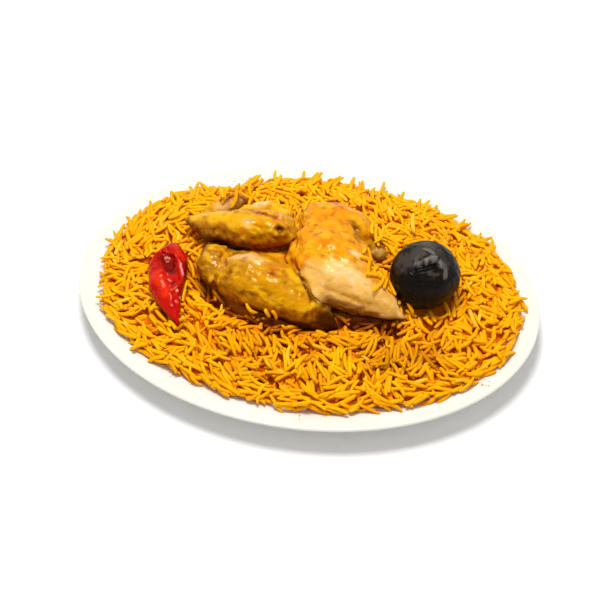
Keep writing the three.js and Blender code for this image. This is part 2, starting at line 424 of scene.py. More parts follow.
def distanceToPath(points, path):
    best = np.linalg.norm(points - np.array(path[0], float), axis=1)
    for start, end in zip(path[:-1], path[1:]):
        a, b = np.array(start, float), np.array(end, float)
        along = np.clip((points - a) @ (b - a) / ((b - a) @ (b - a)), 0, 1)
        best = np.minimum(best, np.linalg.norm(points - a - along[:, None] * (b - a), axis=1))
    return best


def foldDepth(points, folds):
    # how deep the dents go at each point, with a low lip beside each; a ridge is less than 0
    depth = np.zeros(len(points))
    for path, width, deep in folds:
        away = distanceToPath(points, path) / width
        lip = 0.3 if deep > 0 or width < 3 else 0.0  # a wide filling has none
        depth += deep * (np.exp(-(away**2)) - lip * np.exp(-((away - 1.9) ** 2)))
    return depth


def brush(tone, color, share):
    share = np.clip(share, 0, 1)[:, None]
    tone[:] = tone * (1 - share) + np.array(color[:3]) * share


def brushStrokes(tone, tones, points, strokes, ragged=0.0):
    for path, reach, name, strength in strokes:
        away = distanceToPath(points, path) / reach + ragged
        brush(tone, tones[name], smoothStep(1.15, 0.4, away) * strength)


def storeTone(piece, tone):
    layer = piece.data.attributes.new("skinTone", "FLOAT_COLOR", "POINT")
    layer.data.foreach_set("color", np.column_stack((tone, np.ones(len(tone)))).ravel())


def readTone(tree):
    return addNode(tree, "Attribute", attribute_name="skinTone").outputs["Color"]


chicken = {
    "voxel": 0.9,  # mm
    "smoothing": 12,
    "lumps": ((0.7, 13, 1), (0.45, 5, 2), (0.25, 2.6, 3)),
    "streaks": 0.22,
    "wrinkles": 0.32,
    "swell": 0.4,
    # the crease between breast and leg
    "crease": (
        (-6.7, -8.4, 56.3), (0, -18.5, 53.3), (3.6, -22.7, 52.2),
        (5.6, -25.8, 51.3), (8.6, -29.1, 49.8), (12, -31.5, 47),
    ),
    # the same crease seen from above, as x over y, and the line below which the leg is pale, as y over x
    "creaseLine": ((-36, -34, -32, -27, -19, -8, -3, 5, 22), (60, 27, 13, 3.8, -1.2, -6.7, -9.5, -12.5, -10)),
    "paleBelow": ((-5, 10, 36, 45, 55, 65), (-14, -11, -7, -10, -16, -18)),
    "shadedEnd": ((19, -38, 39), (25, -37, 34)),  # of the breast, where it runs under the leg: painted shade, with the juices' colour
    "tones": {
        "gold": linear(208, 138, 2),
        "paleGold": linear(238, 180, 22),
        "olive": linear(160, 98, 1),
        "orange": linear(226, 142, 2),
        "deepOrange": linear(204, 92, 6),
        "cream": linear(230, 178, 96),
        "peach": linear(244, 204, 146),
        "tan": linear(202, 146, 66),
        "brown": linear(120, 50, 2),
        "darkBrown": linear(52, 14, 1),
        "redBrown": linear(138, 38, 4),
        "grey": linear(200, 160, 104),
        "bone": linear(200, 152, 76),
    },
    "lift": 0.18,
    "flecks": 0.12,
    "roughness": (0.2, 0.36),
    "dryRoughness": 0.3,  # more of it where the skin isn't wet
    "wetness": 0.42,
    "relief": (0.5, 0.8),
    "finish": {
        "Specular IOR Level": 0.2,
        "Specular Tint": (1.0, 0.62, 0.08, 1),
        "Coat Roughness": 0.14,
        "Subsurface Weight": 0.06,
        "Subsurface Radius": (1.0, 0.45, 0.2),
        "Subsurface Scale": 2.0 * mm,
    },
    # dents and folds: path in mm, width, depth (a ridge is less than 0)
    "folds": (
        (((-21.4, 15, 59.4),), 2.2, 2.6),
        (((-27.5, 12.1, 60.6), (-24.3, 16.6, 61.2), (-18.4, 17.2, 59.2)), 1.4, -0.8),
        (((-27, 11, 60), (-23.4, 10.6, 57.9), (-18, 12.5, 57)), 1.4, -0.8),
        (((-30.5, 25.4, 61.5),), 3, 1),
        (((-38, 25, 61), (-28, 22.4, 62)), 2.2, 0.5),
        (((-23.7, 27, 59.4), (-22.5, 22, 60.6)), 1.5, -0.9),
        (((-48, 14.5, 60.5), (-41, 15.5, 61.5)), 2.2, -0.8),
        (((-72.4, 12.6, 51), (-60, 10, 53.5), (-50, 8.6, 54)), 1.8, 0.8),
        (((-43.2, 38.8, 53.9), (-37.2, 42.5, 52.8), (-29.9, 40.7, 53.8)), 2, -1.3),
        (((-47, 33, 57), (-38, 34, 57.6), (-28, 33.5, 57)), 2, 0.8),
        (((-15.9, 37.7, 49.2), (-12.3, 24.2, 54.2), (-12.9, 15.7, 47.5)), 1.8, 1.6),
        (((26.3, 25.5, 59.5),), 2.6, 1.8),
        (((16.2, 38, 62.5), (23.1, 37.4, 60.8), (29.8, 37.9, 57.9)), 1.4, 1.2),
        (((24, 31, 61), (30, 22, 60), (33, 12, 60)), 3, 0.7),
        (((-17.1, -23.2, 59.9),), 3, 0.7),
        (((-56, 4, 42), (-54.8, -9.9, 51.3), (-50.1, -19.5, 54.6), (-52, -27, 49)), 1.6, 1.9),
        (((-59.6, -24.7, 42.3), (-53.5, -22.4, 51.4), (-53, -15.8, 54)), 1.3, -1.4),
        (((-45.5, -25.6, 56), (-47.5, -28.7, 52.6)), 1.8, 1),
        (((-66, -16, 47), (-60, -19, 49)), 1.8, 0.8),
        (((-6.7, -8.4, 56.3), (-1.2, -19, 52.2), (3.8, -26.9, 50.1), (8.9, -31.9, 47.1)), 1.4, 1),
        (((-6, 14, 58), (-3.8, 20.7, 58.7), (5.1, 22.5, 62.1), (15.8, 22.8, 63.3), (24, 23, 61)), 4.5, -2),
        (((-55, -3, 46), (-47, -5, 52)), 4.5, -3),
        (((-25, -5, 50), (-15, -1, 50)), 4.5, -3),
        (((-56, 3, 41), (-44, 3.5, 42), (-30, 3.5, 43), (-19, 4, 44)), 5.5, -5),
        (((3.8, -19.2, 55.8), (8.8, -25.4, 52), (14, -29, 47.5)), 3.3, -2.2),
        (((-7.8, -29.4, 56.9), (-4.8, -31.2, 54.9)), 1.6, 0.8),
        (((-33.1, -36.5, 50.4), (-25, -37.5, 50)), 2.5, 0.8),
        (((-40, -13, 60), (-27, -16, 60.7)), 2, -0.7),
        (((-12.9, 15.7, 50), (-9, 10.2, 57), (-8.6, 3, 57)), 1.6, 1.3),
        (((11.9, -23.7, 55.2), (30.1, -26.7, 52.2), (49.8, -27.3, 47.8)), 1.4, 0.3),
        (((-62, 6, 45), (-48, 5, 43), (-30, 6, 45), (-18, 9, 46)), 4, 2.6),
        (((22.8, -13.8, 65.1), (38, -16.5, 60.5), (52, -19.5, 53)), 2, -0.6),
        (((37.5, 21.5, 46), (42, 25.5, 47), (47, 27, 44)), 1.8, 1.3),
        (((33, 20, 55), (38, 27, 51)), 2, 0.8),
    ),
    # strokes of colour: path in mm, reach, tone, strength; besides the skin's own marks, some are painted
    # shade in gaps, creases, pits and undersides, and some painted highlights on the tops
    "strokes": (
        (((-44, -20, 57), (-26, -24, 60), (-6, -29, 56)), 13, "olive", 0.5),
        (((-85, 21, 48.5),), 3.5, "darkBrown", 0.9),
        # painted highlight along the wing's top
        (((-82.1, 22.1, 50.3), (-70.5, 26, 53.3), (-58.2, 26.8, 56.5)), 5, "paleGold", 0.85),
        (((-54.4, 17.3, 59.8), (-42.6, 19, 61.6)), 7, "paleGold", 0.5),
        (((-72.4, 14.1, 52.5), (-60, 11.5, 55)), 5, "olive", 0.7),
        # the wing's lower flank: painted shade in brown and dark brown, with its underside's own orange and
        # red-brown
        (((-76, 11.5, 50.5), (-61, 9, 54), (-47.8, 7.2, 55), (-35.1, 6.8, 54.6), (-19, 9.7, 54.8)),
         6.5, "brown", 0.6),
        (((-80, 15, 47), (-74.6, 10.9, 48.3), (-61, 8.5, 52), (-50, 7.5, 51.5)), 6, "brown", 1),
        (((-77, 13, 45), (-66, 9.5, 48), (-56, 8.6, 48.5)), 4.5, "darkBrown", 0.7),
        (((-50, 7, 51), (-36.7, 7.3, 51), (-25.4, 8.1, 49.8), (-17, 10, 50)), 5.5, "brown", 0.75),
        (((-25.4, 8.1, 49.8), (-15.6, 12.4, 49.3)), 6.5, "redBrown", 0.6),
        (((-37, 7.2, 52.5), (-24, 9.5, 52.8), (-16, 12, 52)), 2.6, "deepOrange", 0.35),
        (((-33, 11.3, 59), (-30.8, 11.6, 60.4)), 4, "brown", 0.3),
        (((-25, 12.5, 59), (-18.4, 16.3, 58.2)), 5, "brown", 0.45),
        (((-67, 18.5, 56), (-60, 20.5, 58)), 5, "paleGold", 0.7),
        (((-62.9, 10.4, 52.7),), 2, "paleGold", 0.6),
        (((-33, 10.5, 57.5), (-25, 10.5, 57), (-17, 13, 56), (-15, 18, 56)), 4.5, "brown", 0.5),
        # a painted highlight
        (((-43.3, 14.9, 60.9),), 4, "peach", 0.75),
        (((-38.9, 14.4, 61),), 1.8, "deepOrange", 0.7),
        (((-45.4, 10.7, 58.1),), 2.4, "deepOrange", 0.6),
        (((-39, 25.5, 61), (-31.2, 22.8, 62.1), (-26, 22, 61.9)), 4.4, "deepOrange", 0.7),
        (((-38, 25.5, 61), (-31.2, 22.8, 62.1), (-27.1, 22.4, 61.9)), 2.8, "redBrown", 0.9),
        # a painted highlight on the little ridge
        (((-23.7, 27, 59.4), (-23, 23, 60.6)), 1.6, "peach", 0.9),
        (((-20.4, 34.9, 52), (-14.9, 21.9, 57)), 4.5, "olive", 0.45),
        (((-32.5, 10.1, 58.6), (-17.1, 13.5, 55.6)), 4, "olive", 0.55),
        (((-27.5, 12.1, 60.6), (-24.3, 16.2, 61.2), (-18.8, 16.8, 59.2)), 1.5, "brown", 0.8),
        (((-27.5, 11.5, 60), (-23.4, 11, 57.9), (-18.4, 12.8, 57.4)), 1.5, "brown", 0.8),
        # painted shade in the pit, and a painted highlight on its rim
        (((-21.4, 15, 59.4),), 2.7, "darkBrown", 0.95),
        (((-26, 12.9, 60.4),), 1.8, "peach", 0.6),
        # the flap's pale skin, with a painted highlight
        (((-43.2, 38.8, 53.9), (-37.2, 42.5, 52.8)), 4.5, "peach", 0.85),
        (((-29.9, 40.7, 53.8), (-24, 38, 53)), 4.5, "paleGold", 0.85),
        (((-34, 38, 55), (-32, 33, 57.5)), 2.4, "deepOrange", 0.6),
        (((-67, 38.8, 47.8), (-61.9, 46.2, 46.3), (-56.4, 58, 42.6)), 7, "grey", 0.85),
        # painted shade in the gap between wing and breast, dark brown, red-brown and brown
        (((-62, 10, 40), (-54, 12.3, 37.9), (-44, 8.2, 41.6), (-30, 7.5, 42.3), (-17.9, 10.5, 43)),
         8, "darkBrown", 1),
        (((-59.1, 9.6, 43), (-46.2, 9, 44), (-32.5, 9.1, 44.5), (-22.9, 11.8, 45)), 5.5, "darkBrown", 0.95),
        (((-40, 8, 47.5), (-28, 9, 47), (-17, 11, 47.5)), 4.2, "redBrown", 0.8),
        (((-56, 1, 45), (-44, 1, 47), (-36, 1, 48)), 4.5, "brown", 0.85),
        # a painted highlight on the breast's top edge beside the gap
        (((-27, 0, 49), (-20, -1.5, 49), (-13, -2.5, 49)), 5, "paleGold", 0.9),
        # more red-brown painted shade in the gap, out to its right end
        (((-36, 6, 45.5), (-27, 6.5, 45), (-19, 7.5, 44.5), (-12, 5, 46)), 5.5, "redBrown", 1),
        (((-24, 1.5, 47.5), (-15, 1.5, 48.5)), 2.4, "deepOrange", 0.7),
        (((-13.5, 13, 47.5), (-10, 10, 52)), 4.5, "redBrown", 0.85),
        (((-69.5, -3.3, 48.1), (-64, -12, 51), (-60, -20, 49)), 7, "olive", 0.95),
        (((-71, -2, 45), (-70, -12, 44), (-66, -20, 43), (-60, -27, 42)), 6, "brown", 0.9),
        (((-69.5, -3.3, 48.1), (-66, 2, 46)), 4, "brown", 0.7),
        (((-59.1, -11.3, 53.2), (-56, -9, 51)), 3.5, "brown", 0.45),
        (((-64, -4, 50), (-56, -2, 48)), 4, "redBrown", 0.55),
        (((-59.7, -23.8, 45.8),), 3, "paleGold", 0.7),
        (((-66, -9, 51), (-62, -14, 52.5)), 2.6, "paleGold", 0.7),
        (((-62, -5, 52), (-58, -7, 52.5)), 2.6, "brown", 0.6),
        (((-66, -16, 47.5), (-62, -19, 48.5)), 2.4, "brown", 0.6),
        (((-59.6, -24.7, 42.3), (-53.5, -22.4, 51.4), (-52, -16.8, 54), (-54.8, -9.9, 51.3)),
         1.5, "grey", 0.85),
        (((-45.5, -25.6, 56), (-47.5, -28.7, 52.6)), 2.6, "brown", 0.8),
        (((-44, -32, 52.5), (-36, -35, 52), (-50.5, -30.9, 47)), 6.5, "olive", 0.8),
        # a painted highlight on the breast's top
        (((-48, -12, 58), (-38.4, -13.2, 60.1), (-27.8, -16.1, 60.7)), 5, "peach", 0.5),
        (((-25.3, -18.2, 60.7), (-18.1, -15, 58.9), (-11.3, -16.4, 58.2)), 2.8, "deepOrange", 0.55),
        (((-17.1, -23.2, 59.9),), 5, "deepOrange", 0.85),
        (((-18.3, -23.8, 59.9), (-15.6, -22.6, 59.8)), 2.8, "redBrown", 0.95),
        (((-8, -18, 57.5), (-2.8, -22.2, 55)), 3.4, "paleGold", 0.8),
        (((-5.3, -28.9, 56), (-8.5, -28, 57)), 2, "brown", 0.6),
        (((-34, -36, 50.4), (-28, -37.5, 49)), 4.2, "brown", 0.85),
        (((-10, -39, 50), (0, -38.5, 49)), 4, "gold", 0.6),
        (((2.4, -37.4, 47), (6, -36, 46)), 3.2, "paleGold", 0.6),
        # painted shade low on the breast's front
        (((-12, -41, 44.5), (-3, -41.3, 44), (8.2, -40.1, 42.8)), 3, "brown", 0.8),
        (((-34, -37.2, 45.5), (-24, -39, 45), (-16, -40.2, 45)), 3.2, "gold", 0.7),
        # painted shade, with the juices' colour, where the breast runs under the leg
        (((10, -38.5, 44), (13.6, -37.8, 42.3)), 4.5, "brown", 1),
        (((14.5, -37.8, 42), (17.4, -37.4, 39.8), (20.2, -38.1, 37.2)), 5, "redBrown", 0.7),
        (((8.9, -40.6, 41.4), (12.3, -38, 43.1)), 5.5, "brown", 0.5),
        (((16.1, -37.3, 41.2), (19.8, -36.3, 39), (23.2, -36.5, 36.1), (25.9, -36.8, 33.1)),
         5.5, "darkBrown", 0.9),
        (((13, -41, 38.3), (16.8, -40.5, 37.1), (21.7, -38.8, 34.4)), 5, "darkBrown", 0.9),
        (((-37.3, -31, 57), (-28, -31, 58), (-17, -32, 57.5), (-7.6, -33.5, 54.8)), 6, "gold", 0.8),
        (((-40, -26, 58.5), (-31, -28.5, 59)), 4, "olive", 0.5),
        # painted shade along the breast's bottom, where it meets the rice
        (((-53, -31, 40.5), (-42, -37, 41), (-30, -39, 40), (-12, -40.5, 39), (7, -41.5, 38.5)),
         3.6, "brown", 0.85),
        (((-60, -33, 34), (-42, -38, 39), (-19.7, -40, 37.5), (7.2, -42.5, 35)), 3.8, "darkBrown", 0.75),
        (((-6.6, -1.1, 58.1),), 4, "paleGold", 0.8),
        (((-6.9, 6.6, 59.4),), 2.6, "redBrown", 0.7),
        (((-9.1, -3.6, 52.5), (-7, -8, 53)), 2.4, "deepOrange", 0.8),
        # painted shade in the crease between breast and leg
        (((-9.9, -3, 52), (-6.7, -8.4, 56), (-0.6, -18.3, 53.1), (4, -26.4, 51.4)), 1.5, "redBrown", 0.9),
        (((0, -18.5, 53.3), (3.6, -22.7, 52.2), (5.6, -25.8, 51.3), (8.6, -29.1, 49.8), (12, -31.5, 47)),
         2.2, "brown", 1),
        (((-3, -15, 53), (-0.3, -18.3, 53.1), (4, -26, 51.4), (9, -31, 48.3)), 1.5, "darkBrown", 0.9),
        (((9, -31.4, 48), (14.9, -32, 44)), 2.2, "darkBrown", 0.9),
        (((-11.3, 5.1, 55.2),), 3.5, "paleGold", 0.6),
        (((6.3, 30, 62.8), (3, 24, 63)), 3.4, "deepOrange", 0.5),
        (((1.9, 18.8, 62.4),), 3, "deepOrange", 0.5),
        (((11.6, -0.3, 68), (14.6, 4.4, 68.5), (8, 1, 67)), 2.4, "deepOrange", 0.65),
        (((2.6, -7.1, 63.7), (-0.5, -11.5, 58.2)), 2.8, "deepOrange", 0.55),
        (((24.2, 27.7, 61.4), (28, 22, 61), (30.2, 17.3, 60.2)), 5, "olive", 0.85),
        (((27.9, 26.6, 58.1), (31, 21, 58)), 3, "brown", 0.4),
        # painted shade in the thigh's pit
        (((26.3, 25.5, 59.5),), 2.4, "darkBrown", 0.7),
        (((40, 18, 44), (43, 21, 46), (47, 22, 42)), 8, "bone", 0.95),
        (((37.2, 23.5, 47.9), (36, 25, 51)), 3.4, "gold", 0.8),
        # painted shade beside the bone knob and in the dent across it
        (((39.8, 29.5, 48), (43.4, 28.2, 46.8), (46.5, 26.6, 45)), 3.4, "brown", 0.85),
        (((38.4, 22.5, 45.5), (41.5, 25, 46)), 1.3, "brown", 0.6),
        # the leg's pale skin, with a painted highlight
        (((19.1, -14.8, 64.4), (27.6, -16.8, 63.7), (36, -18, 60)), 5.5, "peach", 0.85),
        (((26.7, -10.5, 66.2),), 3, "peach", 0.6),
        (((30, -0.5, 65.8), (37.3, -2.5, 61.6)), 3.4, "peach", 0.8),
        (((4.5, -19.5, 55.5), (9.7, -25.6, 52), (16, -28.5, 47)), 2.6, "paleGold", 0.35),
        (((28, 25.5, 58.8),), 3.5, "brown", 0.4),
        (((36, -26.5, 51), (42, -27.5, 50.1), (54.2, -26.8, 47.3), (62, -26.5, 44)), 3, "tan", 0.6),
        (((17.8, -24.6, 56.6), (33.1, -25.9, 53.2), (50.2, -26.4, 49.2)), 2.8, "tan", 0.75),
        (((36, -27.5, 51.5), (46, -27.8, 49)), 2.2, "olive", 0.35),
        (((24, -21.3, 60.4), (33, -22.9, 57.1)), 1.3, "tan", 0.4),
        (((28, -26.3, 53), (38.3, -26.1, 52.6)), 1.6, "olive", 0.45),
        (((14, -28.5, 48.6), (30.6, -28.9, 47), (42.4, -28.6, 46)), 2.6, "brown", 0.5),
        (((33, -8.5, 63.4), (40.5, -10.1, 60.4), (48.9, -14.9, 56)), 4, "gold", 0.75),
        # painted shade along the leg's underside, where it meets the rice
        (((14.2, -30.5, 44.5), (26.3, -29.6, 42.4), (38.7, -30.5, 41.8), (50.8, -29.5, 41.2)),
         3, "brown", 0.95),
        (((11.9, -31.8, 41.4), (30, -31.5, 39.4), (50.4, -29.7, 37), (65.1, -28, 36.3)),
         3, "darkBrown", 0.95),
    ),
}


def applyAll(piece):
    graph = bpy.context.evaluated_depsgraph_get()
    mesh = bpy.data.meshes.new_from_object(piece.evaluated_get(graph))
    piece.modifiers.clear()
    piece.data = mesh
    for attribute in [a.name for a in mesh.attributes if not a.is_required and not a.is_internal]:
        mesh.attributes.remove(mesh.attributes[attribute])
    mesh.polygons.foreach_set("use_smooth", [True] * len(mesh.polygons))


def remeshed(name, nodeName, values):
    piece = addObject(name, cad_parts[nodeName].data.copy())
    remesh = piece.modifiers.new("remesh", "REMESH")
    remesh.mode = "VOXEL"
    remesh.voxel_size = values["voxel"] * mm
    soften = piece.modifiers.new("soften", "SMOOTH")
    soften.factor, soften.iterations = 0.5, values["smoothing"]
    applyAll(piece)
    return piece


def drawnOut(points, direction, share):
    # the same points, squeezed along one direction, so that noise over them makes streaks
    ahead = np.array(direction, float) / np.linalg.norm(direction)
    return points - (1 - share) * (points @ ahead)[:, None] * ahead


def makeChickenMaterial():
    material, tree, shader = startMaterial("chickenSkin")
    small = useGroup(tree, mottle, Size=3.4, Seed=5.0)
    tones = chicken["tones"]
    tone = readTone(tree)
    parts = addNode(tree, "SeparateColor")
    feed(tree, parts.inputs[0], tone)
    # the darkest places, the painted shade among them, stay dark
    bright = remap(tree, parts.outputs[0], 0.03, 0.15, 0.0, chicken["lift"])
    lift = blendColors(tree, mathNode(tree, "MULTIPLY", small["Patches"], bright), tone, tones["paleGold"])
    flecks = mathNode(tree, "MULTIPLY", small["Flecks"], chicken["flecks"])
    feed(tree, shader.inputs["Base Color"], blendColors(tree, flecks, lift, tones["brown"]))
    upward = readAttribute(tree, "upward")
    rough = remap(tree, small["Patches"], 0.0, 1.0, *chicken["roughness"])
    dry = remap(tree, upward, 0.0, 1.0, chicken["dryRoughness"], 0.0)
    feed(tree, shader.inputs["Roughness"], mathNode(tree, "ADD", rough, dry))
    wet = mathNode(tree, "MULTIPLY", useGroup(tree, mottle, Size=5.0, Seed=6.0)["Patches"], upward)
    feed(tree, shader.inputs["Coat Weight"], mathNode(tree, "MULTIPLY", wet, chicken["wetness"]))
    setInputs(shader, chicken["finish"])
    bumpInto(tree, shader, useGroup(tree, fineSkin, Size=2.0)["Height"], *chicken["relief"])
    return material


def paintChicken(points, normals):
    tones = chicken["tones"]
    tone = np.tile(np.array(tones["gold"][:3]), (len(points), 1))
    x, y, z = points.T
    along = drawnOut(points, (50, -12, 6), 0.4)
    cloud, fine, small = noiseAt(points, 9, 11), noiseAt(along, 3.2, 12), noiseAt(along, 1.7, 16)
    brush(tone, tones["paleGold"], smoothStep(0.0, 0.4, cloud + 0.6 * fine) * 0.8)
    brush(tone, tones["olive"], smoothStep(0.0, 0.5, noiseAt(points, 8, 13) + 0.5 * fine) * 0.4)
    crease = np.interp(y, *chicken["creaseLine"])
    paleBelow = np.interp(x, *chicken["paleBelow"])
    onLeg = smoothStep(-0.8, 0.8, x - crease)
    brush(tone, tones["orange"], onLeg)
    brush(tone, tones["paleGold"], onLeg * smoothStep(0.0, 0.5, cloud + 0.6 * fine) * 0.5)
    blush = smoothStep(0.1, 0.6, noiseAt(points, 6, 14) + 0.4 * fine)
    brush(tone, tones["deepOrange"], onLeg * blush * 0.45)
    shank = smoothStep(-3, 4, paleBelow - y + 4 * cloud + 3 * fine + 1.5 * small) * onLeg
    brush(tone, tones["cream"], shank)
    streaks = noiseAt(drawnOut(points, (56, -35, -14), 0.3), 2.6, 15)
    brush(tone, tones["tan"], shank * smoothStep(0.05, 0.6, streaks + 0.4 * cloud) * 0.3)
    brush(tone, tones["peach"], shank * smoothStep(0.05, 0.5, -streaks + 0.2 * fine) * 0.5)
    # painted shade: the more a face turns down, the more it is painted deep orange, brown and dark brown; the
    # wing's back tip gets less of it
    backTip = smoothStep(33, 38, y) * smoothStep(-50, -56, x)
    low = normals[:, 2] + 0.2 * cloud + 0.1 * fine + 0.12 * shank + 0.6 * backTip
    brush(tone, tones["deepOrange"], smoothStep(0.75, 0.3, low) * 0.3 * (1 - shank))
    brush(tone, tones["brown"], smoothStep(0.55, 0.05, low) * 0.85)
    brush(tone, tones["darkBrown"], smoothStep(0.2, -0.35, low) * 0.92)
    brushStrokes(tone, tones, points, chicken["strokes"], 0.35 * fine + 0.15 * cloud + 0.15 * small)
    # specks over all of it: pale ones, as painted highlight, only on the faces that turn up, and brown ones
    # off the leg's pale shank
    pale = smoothStep(0.15, 0.5, 0.5 * small + 0.8 * fine)
    brush(tone, tones["paleGold"], pale * 0.4 * smoothStep(0.4, 0.8, low))
    dark = smoothStep(0.15, 0.55, -0.6 * small + 0.9 * noiseAt(points, 5, 17))
    brush(tone, tones["brown"], dark * 0.4 * (1 - shank))
    # painted shade along the bottom: red-brown low on the front, and dark brown where the chicken meets the
    # rice
    front = smoothStep(0, -8, y)
    brush(tone, tones["redBrown"], smoothStep(47, 42, z + 3 * cloud + fine) * 0.4 * front * (1 - shank))
    brush(tone, tones["darkBrown"], smoothStep(32 + 10 * front, 29 + 7 * front, z + 1.5 * cloud) * 0.9)
    # painted shade, with the juices' colour, on the breast's end under the leg
    shaded = distanceToPath(points, chicken["shadedEnd"]) + 1.5 * fine
    brush(tone, tones["brown"], smoothStep(12, 5, shaded) * 0.7)
    brush(tone, tones["darkBrown"], smoothStep(8, 3, shaded) * 0.9)
    return tone


def makeChicken():
    piece = remeshed("halfChicken", "half_chicken", chicken)
    points, normals = pointsOf(piece), normalsOf(piece)
    lumps = lumpsAt(points, chicken["lumps"])
    onShank = smoothStep(5, 30, points[:, 0])
    streaks = noiseAt(drawnOut(points, (56, -35, -14), 0.25), 2.4, 8)
    wrinkles = 1 - np.abs(noiseAt(drawnOut(points, (40, -30, 0), 0.55), 4.2, 21)) * 2.2
    lumps += chicken["streaks"] * streaks * onShank + chicken["wrinkles"] * wrinkles * (1 - 0.7 * onShank)
    points = points + normals * (chicken["swell"] + lumps - foldDepth(points, chicken["folds"]))[:, None]
    placePoints(piece, points)
    normals = normalsOf(piece)
    storeTone(piece, paintChicken(points, normals))
    # the skin is wet and glossy where it faces up, and not down between the pieces
    wet = smoothStep(0.6, 0.9, normals[:, 2]) * smoothStep(46, 52, points[:, 2])
    addAttribute(piece, "upward", wet * smoothStep(2.0, 4.0, distanceToPath(points, chicken["crease"])))
    return dress(piece, makeChickenMaterial(), "half_chicken")


halfChicken = makeChicken()
print("stage: chicken made,", len(halfChicken.data.polygons), "faces")


lime = {
    "voxel": 0.6,  # mm
    "smoothing": 12,
    "lumps": ((0.5, 11, 4), (0.22, 4, 5), (0.1, 1.8, 6)),
    "ragged": ((0.45, 3, 18), (0.25, 7, 19), (0.25, 1.5, 22)),  # unevenness of the strokes' edges
    "swell": 0.3,
    "flecks": 0.05,
    "roughness": (0.34, 0.5),
    "relief": (0.45, 0.5),
    "finish": {"Specular IOR Level": 0.13, "Specular Tint": (1.0, 0.88, 0.76, 1)},
    "middle": (77, 2.5, 51),
    "tones": {
        "rind": linear(9, 6, 4),
        # the sheen tone is painted reflection; the pale tone is both painted glint and the rind's worn specks
        "sheen": linear(70, 62, 57),
        "wearAndGlint": linear(118, 110, 104),
    },
    "folds": (
        (((71, -10.5, 68), (77.7, -8.3, 69.8), (84.6, -3.9, 69.8)), 1.7, 1.7),
        (((74.5, -6, 71.3), (78.7, -3.2, 71.8), (82.6, -0.1, 71.8)), 1.6, -0.7),
        (((74.8, 6, 72.9), (80.1, 3.5, 72.6), (84.6, -1.4, 70.9)), 1.3, 0.7),
        (((85.2, -0.5, 70.4), (90.5, -3.4, 66.8)), 1.4, 0.6),
        (((85.5, -5, 69), (88, -11, 63.5)), 1.4, 0.5),
        (((84.6, -3.4, 69.9),), 2.4, 0.7),
    ),
    "strokes": (
        # painted sheen: a broad soft reflection over the upper left
        (((60.9, -2.4, 65.3), (66.5, -4, 69.5), (72, 4, 72.5), (78, 10, 71.5)), 6.8, "sheen", 0.75),
        # painted glints along the ridges
        (((72.5, -7, 70.2), (78, -4, 71.8), (83, -0.5, 71.8)), 2.6, "wearAndGlint", 0.9),
        (((75, 4.9, 72.9), (80.5, 3, 72.6)), 1.6, "wearAndGlint", 0.9),
        (((86.2, -1.3, 70), (89.9, -3.9, 67), (90.6, -7, 64.6)), 2.6, "wearAndGlint", 0.6),
        # more painted sheen
        (((80.5, -10.5, 67.6), (86.5, -9, 66.4)), 1.8, "sheen", 0.8),
        (((76.5, 9.5, 71.5), (83.5, 5, 71), (90, 0, 67)), 4.5, "sheen", 0.5),
    ),
}


def makeLimeMaterial():
    material, tree, shader = startMaterial("limeRind")
    cloud = useGroup(tree, mottle, Size=7.0, Seed=7.0)
    # the pale specks here are the rind's own wear
    shade = mathNode(tree, "MULTIPLY", cloud["Flecks"], lime["flecks"])
    feed(tree, shader.inputs["Base Color"], blendColors(tree, shade, readTone(tree), lime["tones"]["wearAndGlint"]))
    feed(tree, shader.inputs["Roughness"], remap(tree, cloud["Patches"], 0.0, 1.0, *lime["roughness"]))
    setInputs(shader, lime["finish"])
    bumpInto(tree, shader, useGroup(tree, fineSkin, Size=1.2)["Height"], *lime["relief"])
    return material


def makeLime():
    piece = remeshed("driedLime", "dried_lime", lime)
    points = pointsOf(piece)
    middle = np.array(lime["middle"])
    out = points - middle
    reach = np.linalg.norm(out, axis=1)
    out /= reach[:, None]
    lumps = lumpsAt(points, lime["lumps"])
    points = middle + out * (reach + lime["swell"] + lumps - foldDepth(points, lime["folds"]))[:, None]
    placePoints(piece, points)
    tone = np.tile(np.array(lime["tones"]["rind"][:3]), (len(points), 1))
    brushStrokes(tone, lime["tones"], points, lime["strokes"], lumpsAt(points, lime["ragged"]))
    storeTone(piece, tone)
    return dress(piece, makeLimeMaterial(), "dried_lime")


driedLime = makeLime()
print("stage: dried lime made")


